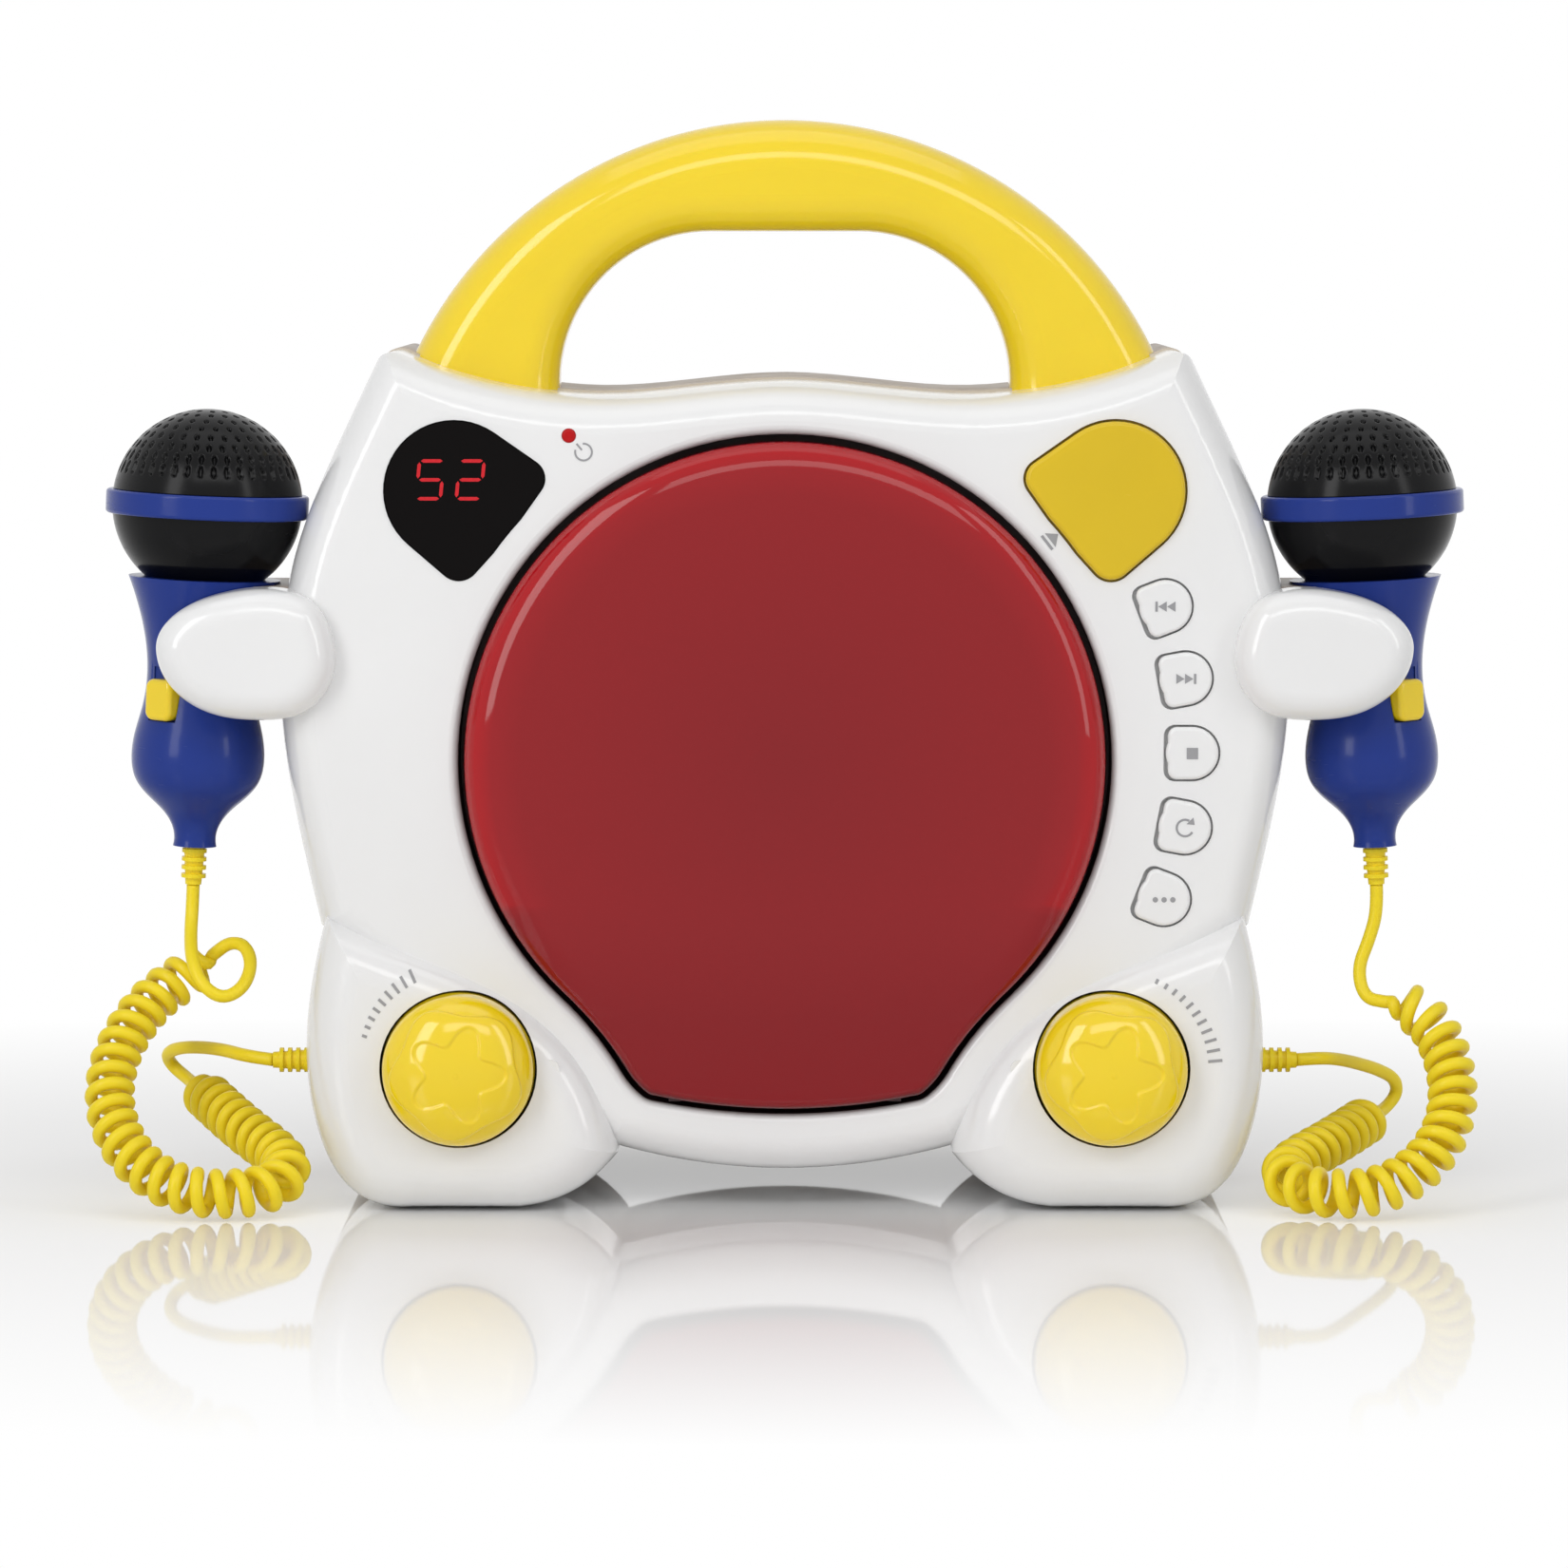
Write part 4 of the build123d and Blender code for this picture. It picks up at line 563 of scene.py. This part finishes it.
def dimple(radius, height, turn, index):
    """Oval hollows in rings, longer on the lower rings."""
    if height < 0.003 or index > DOME_ROWS:
        return 0.0
    polar = atan2(radius, height)
    for number, (row, count, half_height) in enumerate(DIMPLE_ROWS):
        down = (polar - radians(row)) * BALL * 1000
        if abs(down) < half_height * 1.3:
            step = 2 * pi / count
            shift = (number % 2) * step / 2
            around = ((turn + shift + step / 2) % step - step / 2) * radius * 1000
            reach = hypot(down / half_height, around / DIMPLE_HALF_WIDTH)
            if reach < DIMPLE_EDGE:
                depth = 1.0 if reach < DIMPLE_FLOOR else (DIMPLE_EDGE - reach) / DIMPLE_WALL
                return -DIMPLE_DEPTH * depth * depth * (3 - 2 * depth)
    return 0.0


def grille_profile():
    """Outside of the dome from its pole, the step into the ring, then back up the inside."""
    outer = [(BALL * sin(radians(a)), BALL * cos(radians(a))) for a in np.linspace(0, 82.7, DOME_ROWS)]
    slopes = [radians(a) for a in np.linspace(86, 0, 16)]
    inside = [(BALL_INSIDE * sin(a), BALL_INSIDE * cos(a)) for a in slopes]
    return outer + GRILLE_STEP + inside


for side, label in ((-1, "left"), (1, "right")):
    dome = turned(label + "_grille_dome", grille_profile(), DOME_SEGMENTS, mic_place(side),
                  label + "_microphone", skins["microphone_black"], dimple)
    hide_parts(label + "_mic_grille")


# ---------------------------------------------------------------- knobs with a generic lobed relief
DOME_STEPS = 90
KNOB_SEGMENTS = 280
KNOB_RIM = 0.0540
KNOB_DOME = 0.0098
LOBES = 5
LOBE_HEIGHT = 0.0006
LOBE_EDGE = 0.0007


def smooth_step(value, low, high):
    t = min(1.0, max(0.0, (value - low) / (high - low)))
    return t * t * (3 - 2 * t)


def rosette(radius, height, turn, index):
    """Raised band on the dome whose inner and outer edges run in round lobes."""
    if index > DOME_STEPS:
        return 0.0
    inner = 0.0092 + 0.0023 * cos(LOBES * turn)
    outer = 0.0156 + 0.0011 * cos(LOBES * turn + 2.2)
    inside_edge = smooth_step(radius, inner, inner + LOBE_EDGE)
    band = inside_edge * (1 - smooth_step(radius, outer - LOBE_EDGE, outer))
    return LOBE_HEIGHT * (band - 0.5)


def knob_profile():
    """Domed cap from its pole down its side, then round the hollow inside."""
    turns = np.linspace(0, pi / 2, DOME_STEPS + 1)
    dome = [(KNOB_RADIUS * sin(a) ** 0.86, KNOB_RIM + KNOB_DOME * cos(a) ** 1.12) for a in turns]
    dome[0] = (0.0, dome[0][1])
    return dome + [(KNOB_RADIUS, 0.0505), (KNOB_RADIUS, 0.0470), (0.0166, 0.0470), (0.0162, KNOB_RIM),
                   (0.0110, 0.0594), (0.0, 0.0612)]


for side, label in ((-1, "left"), (1, "right")):
    front = Matrix.Translation((side * KNOB_X, 0, KNOB_Z)) @ Matrix.Rotation(radians(90), 4, "X")
    cap = turned(label + "_knob_cap", knob_profile(), KNOB_SEGMENTS, front, label + "_dial",
                 skins["bright_yellow"], rosette)
    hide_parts(label + "_knob")


# ---------------------------------------------------------------- curly cords
CURL_RADIUS = 0.0045
CURL_PITCH = 0.00475
CURL_LEAST_GAP = 0.0008
CURL_RAMP = 0.006
MOST_BEND = 130
BEND_WINDOW = 50
WIRE_RADIUS = 0.0016
WIRE_SIDES = 12
ROUTE_STEP = 0.00012
WIRE_STEP = 0.0009

RIGHT_TAIL = [(144.28, -22.0, 76.85), (144.57, -22.0, 70.6), (142.6, -22.7, 63.6), (139.6, -24.4, 56.6),
              (141.0, -27.0, 49.6)]
RIGHT_CURLS = [(146.4, -28.4, 48.8), (151.8, -29.8, 48.0), (156.8, -33.2, 44.4), (160.0, -38.0, 38.0),
               (161.2, -43.6, 30.4), (160.0, -49.2, 22.6), (155.6, -54.0, 15.4), (148.8, -57.6, 10.0),
               (140.6, -59.8, 7.0), (132.2, -59.4, 6.5), (124.8, -55.8, 6.9), (120.4, -49.2, 8.0),
               (121.0, -41.6, 9.8), (125.8, -34.6, 11.6), (131.4, -27.4, 13.2), (136.8, -19.4, 14.8),
               (141.8, -11.2, 16.4), (146.2, -3.8, 17.6)]
RIGHT_LEAD = [(149.2, 1.3, 18.4), (152.4, 3.6, 21.8), (151.6, 0.8, 26.0), (146.8, -4.6, 29.0),
              (141.2, -11.0, 31.4), (136.0, -18.2, 33.4), (130.6, -24.2, 34.6), (124.8, -25.0, 34.2)]
LEFT_TAIL = [(-144.28, -22.0, 76.85), (-144.54, -22.0, 71.2), (-144.7, -25.4, 65.2), (-143.9, -31.8, 59.8),
             (-141.4, -35.4, 54.0), (-136.2, -36.2, 50.4), (-131.2, -33.8, 52.8), (-129.4, -29.2, 58.0),
             (-131.4, -24.8, 62.4), (-135.6, -22.4, 62.8)]
LEFT_CURLS = [(-139.6, -21.8, 59.6), (-145.6, -20.9, 54.8), (-153.0, -25.8, 50.2), (-159.0, -32.2, 43.2),
              (-162.8, -39.0, 34.4), (-162.8, -45.8, 25.0), (-158.6, -52.0, 16.4), (-151.0, -56.8, 10.0),
              (-141.8, -59.8, 7.0), (-132.4, -59.8, 6.5), (-124.4, -56.4, 7.0), (-119.9, -49.6, 8.8),
              (-120.6, -41.8, 11.4), (-125.2, -34.6, 14.0), (-131.0, -27.4, 16.8), (-136.2, -19.6, 19.6),
              (-141.2, -11.4, 22.4), (-145.4, -3.6, 24.4)]
LEFT_LEAD = [(-148.6, 2.4, 25.9), (-152.6, 4.6, 28.8), (-153.6, 0.8, 32.2), (-150.2, -4.6, 34.4),
             (-144.2, -10.4, 35.4), (-137.8, -16.8, 35.6), (-131.2, -23.4, 34.8), (-124.8, -25.0, 34.2)]


def smooth_line(points):
    """Points read along a NURBS curve with these control points, and the distance to each."""
    curve = bpy.data.curves.new("route", "CURVE")
    curve.dimensions = "3D"
    spline = curve.splines.new("NURBS")
    spline.points.add(len(points) - 1)
    for knot, (x, y, z) in zip(spline.points, points):
        knot.co = (x / 1000, y / 1000, z / 1000, 1)
    spline.order_u = 3
    spline.use_endpoint_u = True
    spline.resolution_u = 24
    route = bpy.data.objects.new("route", curve)
    bpy.context.scene.collection.objects.link(route)
    mesh = bpy.data.meshes.new_from_object(route)
    line = np.array([v.co for v in mesh.vertices])
    bpy.data.objects.remove(route)
    bpy.data.meshes.remove(mesh)
    steps = np.linalg.norm(np.diff(line, axis=0), axis=1)
    keep = np.concatenate([[True], steps > 1e-7])
    line = line[keep]
    return line, np.concatenate([[0], np.cumsum(np.linalg.norm(np.diff(line, axis=0), axis=1))])


def resampled(line, distance, step):
    """The same line at even steps."""
    count = max(2, int(distance[-1] / step))
    even = np.linspace(0, distance[-1], count)
    return np.column_stack([np.interp(even, distance, line[:, k]) for k in range(3)]), even


def carried_frames(line):
    """Two normals at each point of a line, carried along without twist."""
    tangent = np.gradient(line, axis=0)
    tangent /= np.linalg.norm(tangent, axis=1)[:, None]
    first = np.cross(tangent[0], [0, 1, 0])
    normals = [first / np.linalg.norm(first)]
    for before, here in zip(tangent, tangent[1:]):
        carried = normals[-1] - here * np.dot(normals[-1], here)
        normals.append(carried / np.linalg.norm(carried))
    normal = np.array(normals)
    return normal, np.cross(tangent, normal)


def curl_pitches(line, even):
    """Distance from curl to curl along the line: wider in a bend, where the curls fan out."""
    tangent = np.gradient(line, even, axis=0)
    bend = np.linalg.norm(np.gradient(tangent, even, axis=0), axis=1)
    window, half = np.ones(BEND_WINDOW) / BEND_WINDOW, BEND_WINDOW // 2
    bend = np.convolve(np.pad(bend, half, "edge"), window, "same")[half:-half]
    inside = 1 - CURL_RADIUS * np.minimum(bend, MOST_BEND)
    return np.maximum(CURL_PITCH, (2 * WIRE_RADIUS + CURL_LEAST_GAP) / inside)


def curled(line, even, start, end):
    """The wire's own centreline: straight, then wound round the line between start and end."""
    normal, side = carried_frames(line)
    rise = np.clip((even - start) / CURL_RAMP, 0, 1)
    fall = np.clip((end - even) / CURL_RAMP, 0, 1)
    rise, fall = rise * rise * (3 - 2 * rise), fall * fall * (3 - 2 * fall)
    radius = CURL_RADIUS * rise * fall
    turn = 2 * pi * np.cumsum(np.gradient(even) / curl_pitches(line, even))
    return line + radius[:, None] * (np.cos(turn)[:, None] * normal + np.sin(turn)[:, None] * side)


def tube(name, line, radius, sides, skin):
    """Closed round tube along a line."""
    normal, side = carried_frames(line)
    points = []
    for center, n, s in zip(line, normal, side):
        for k in range(sides):
            turn = 2 * pi * k / sides
            points.append(center + radius * (cos(turn) * n + sin(turn) * s))
    faces = grid_faces(len(line), sides)
    faces += [list(range(sides))[::-1], list(range(len(points) - sides, len(points)))]
    return piece(name, points, faces, None, skin)


def length_of(line):
    return float(np.linalg.norm(np.diff(line, axis=0), axis=1).sum())


def make_cord(label, tail, curls, lead):
    """One wire from the microphone, through its curls, to the machine."""
    line, distance = smooth_line(tail + curls + lead)
    line, even = resampled(line, distance, ROUTE_STEP)
    first, last = [np.array(p) / 1000 for p in (curls[0], curls[-1])]
    start, end = [even[np.argmin(np.linalg.norm(line - p, axis=1))] for p in (first, last)]
    wire = curled(line, even, start, end)
    steps = np.concatenate([[0], np.cumsum(np.linalg.norm(np.diff(wire, axis=0), axis=1))])
    wire, _ = resampled(wire, steps, WIRE_STEP)
    cord = tube(label + "_curly_cord", wire, WIRE_RADIUS, WIRE_SIDES, skins["cord_yellow"])
    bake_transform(cord)
    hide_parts(label + "_cord_tail", label + "_cord_curls", label + "_cord_lead")
    print(label, "cord length", round(length_of(wire), 4))


make_cord("right", RIGHT_TAIL, RIGHT_CURLS, RIGHT_LEAD)
make_cord("left", LEFT_TAIL, LEFT_CURLS, LEFT_LEAD)


# ---------------------------------------------------------------- floor, light and camera
def seen_directly(tree):
    """1 for what the camera sees, also by reflection or through glass, and 0 for all other light."""
    path = tree.nodes.new("ShaderNodeLightPath")
    seen = path.outputs["Is Camera Ray"]
    for kind in ("Is Glossy Ray", "Is Transmission Ray"):
        either = tree.nodes.new("ShaderNodeMath")
        either.operation = "MAXIMUM"
        tree.links.new(seen, either.inputs[0])
        tree.links.new(path.outputs[kind], either.inputs[1])
        seen = either.outputs["Value"]
    return seen


def pale_floor(name, colour, near, far):
    """Plain pale floor that keeps the shadow near the object and is white for the camera further out."""
    n = Nodes(name)
    n.colour(n.ramp(n.noise(3.0), [(0.3, shade(colour, 0.995)), (0.7, colour)]))
    n.set(Roughness=0.04, Specular_IOR_Level=1.0)
    oval = n.add("ShaderNodeMapping")
    oval.inputs["Scale"].default_value = (0.5, 1.0, 1.0)
    n.join(n.place, oval.inputs["Vector"])
    distance = n.add("ShaderNodeVectorMath", operation="LENGTH")
    n.join(oval.outputs["Vector"], distance.inputs[0])
    outward = n.spread(distance.outputs["Value"], 0.0, 1.0, (near, far))
    glow = n.add("ShaderNodeEmission")
    blend = n.add("ShaderNodeMixShader")
    n.join(n.math("MULTIPLY", outward, seen_directly(n.tree)), blend.inputs["Fac"])
    n.join(n.shader.outputs["BSDF"], blend.inputs[1])
    n.join(glow.outputs["Emission"], blend.inputs[2])
    n.join(blend.outputs["Shader"], n.tree.nodes["Material Output"].inputs["Surface"])
    return n.material


def floor():
    size = 6.0
    corners = [(-size, -size, 0), (size, -size, 0), (size, size, 0), (-size, size, 0)]
    mesh = bpy.data.meshes.new("floor")
    mesh.from_pydata(corners, [], [(0, 1, 2, 3)])
    mesh.materials.append(pale_floor("floor_white", (0.95, 0.95, 0.95), 0.09, 0.33))
    ground = bpy.data.objects.new("floor", mesh)
    bpy.context.scene.collection.objects.link(ground)


def area(name, place, target, size, watts):
    light = bpy.data.lights.new(name, "AREA")
    light.shape = "RECTANGLE"
    light.size, light.size_y = size
    light.energy = watts
    lamp = bpy.data.objects.new(name, light)
    lamp.location = place
    lamp.rotation_euler = (Vector(target) - Vector(place)).to_track_quat("-Z", "Y").to_euler()
    bpy.context.scene.collection.objects.link(lamp)


def world(strength):
    """White background for the camera and for gloss, a softer grey for everything else."""
    sky = bpy.data.worlds.new("studio")
    bpy.context.scene.world = sky
    sky.use_nodes = True
    tree = sky.node_tree
    backdrop = tree.nodes["Background"]
    backdrop.inputs["Color"].default_value = (1, 1, 1, 1)
    level = tree.nodes.new("ShaderNodeMapRange")
    level.inputs["To Min"].default_value = strength
    level.inputs["To Max"].default_value = 1.0
    tree.links.new(seen_directly(tree), level.inputs["Value"])
    tree.links.new(level.outputs["Result"], backdrop.inputs["Strength"])


MIDDLE = (0, 0, 0.12)
CAMERA_TILT = 5.162

floor()
world(0.37)
area("key_left", (-1.0, -1.15, 0.75), MIDDLE, (0.45, 1.3), 8.5)
area("key_right", (1.15, -0.9, 0.7), MIDDLE, (0.25, 1.3), 3.4)
area("front_top", (0.15, -1.1, 1.0), MIDDLE, (1.2, 0.32), 3.4)
area("top", (0, -0.1, 1.5), (0, 0, 0.1), (1.4, 0.8), 3)

view = bpy.data.cameras.new("camera")
view.lens = 139.92
view.sensor_width = 36.0
view.clip_start = 0.05
camera = bpy.data.objects.new("camera", view)
camera.location = (-0.0002, -1.5, 0.235)
camera.rotation_euler = (radians(90 - CAMERA_TILT), 0, 0)
bpy.context.scene.collection.objects.link(camera)
bpy.context.scene.camera = camera
bpy.context.scene.view_settings.view_transform = "Standard"
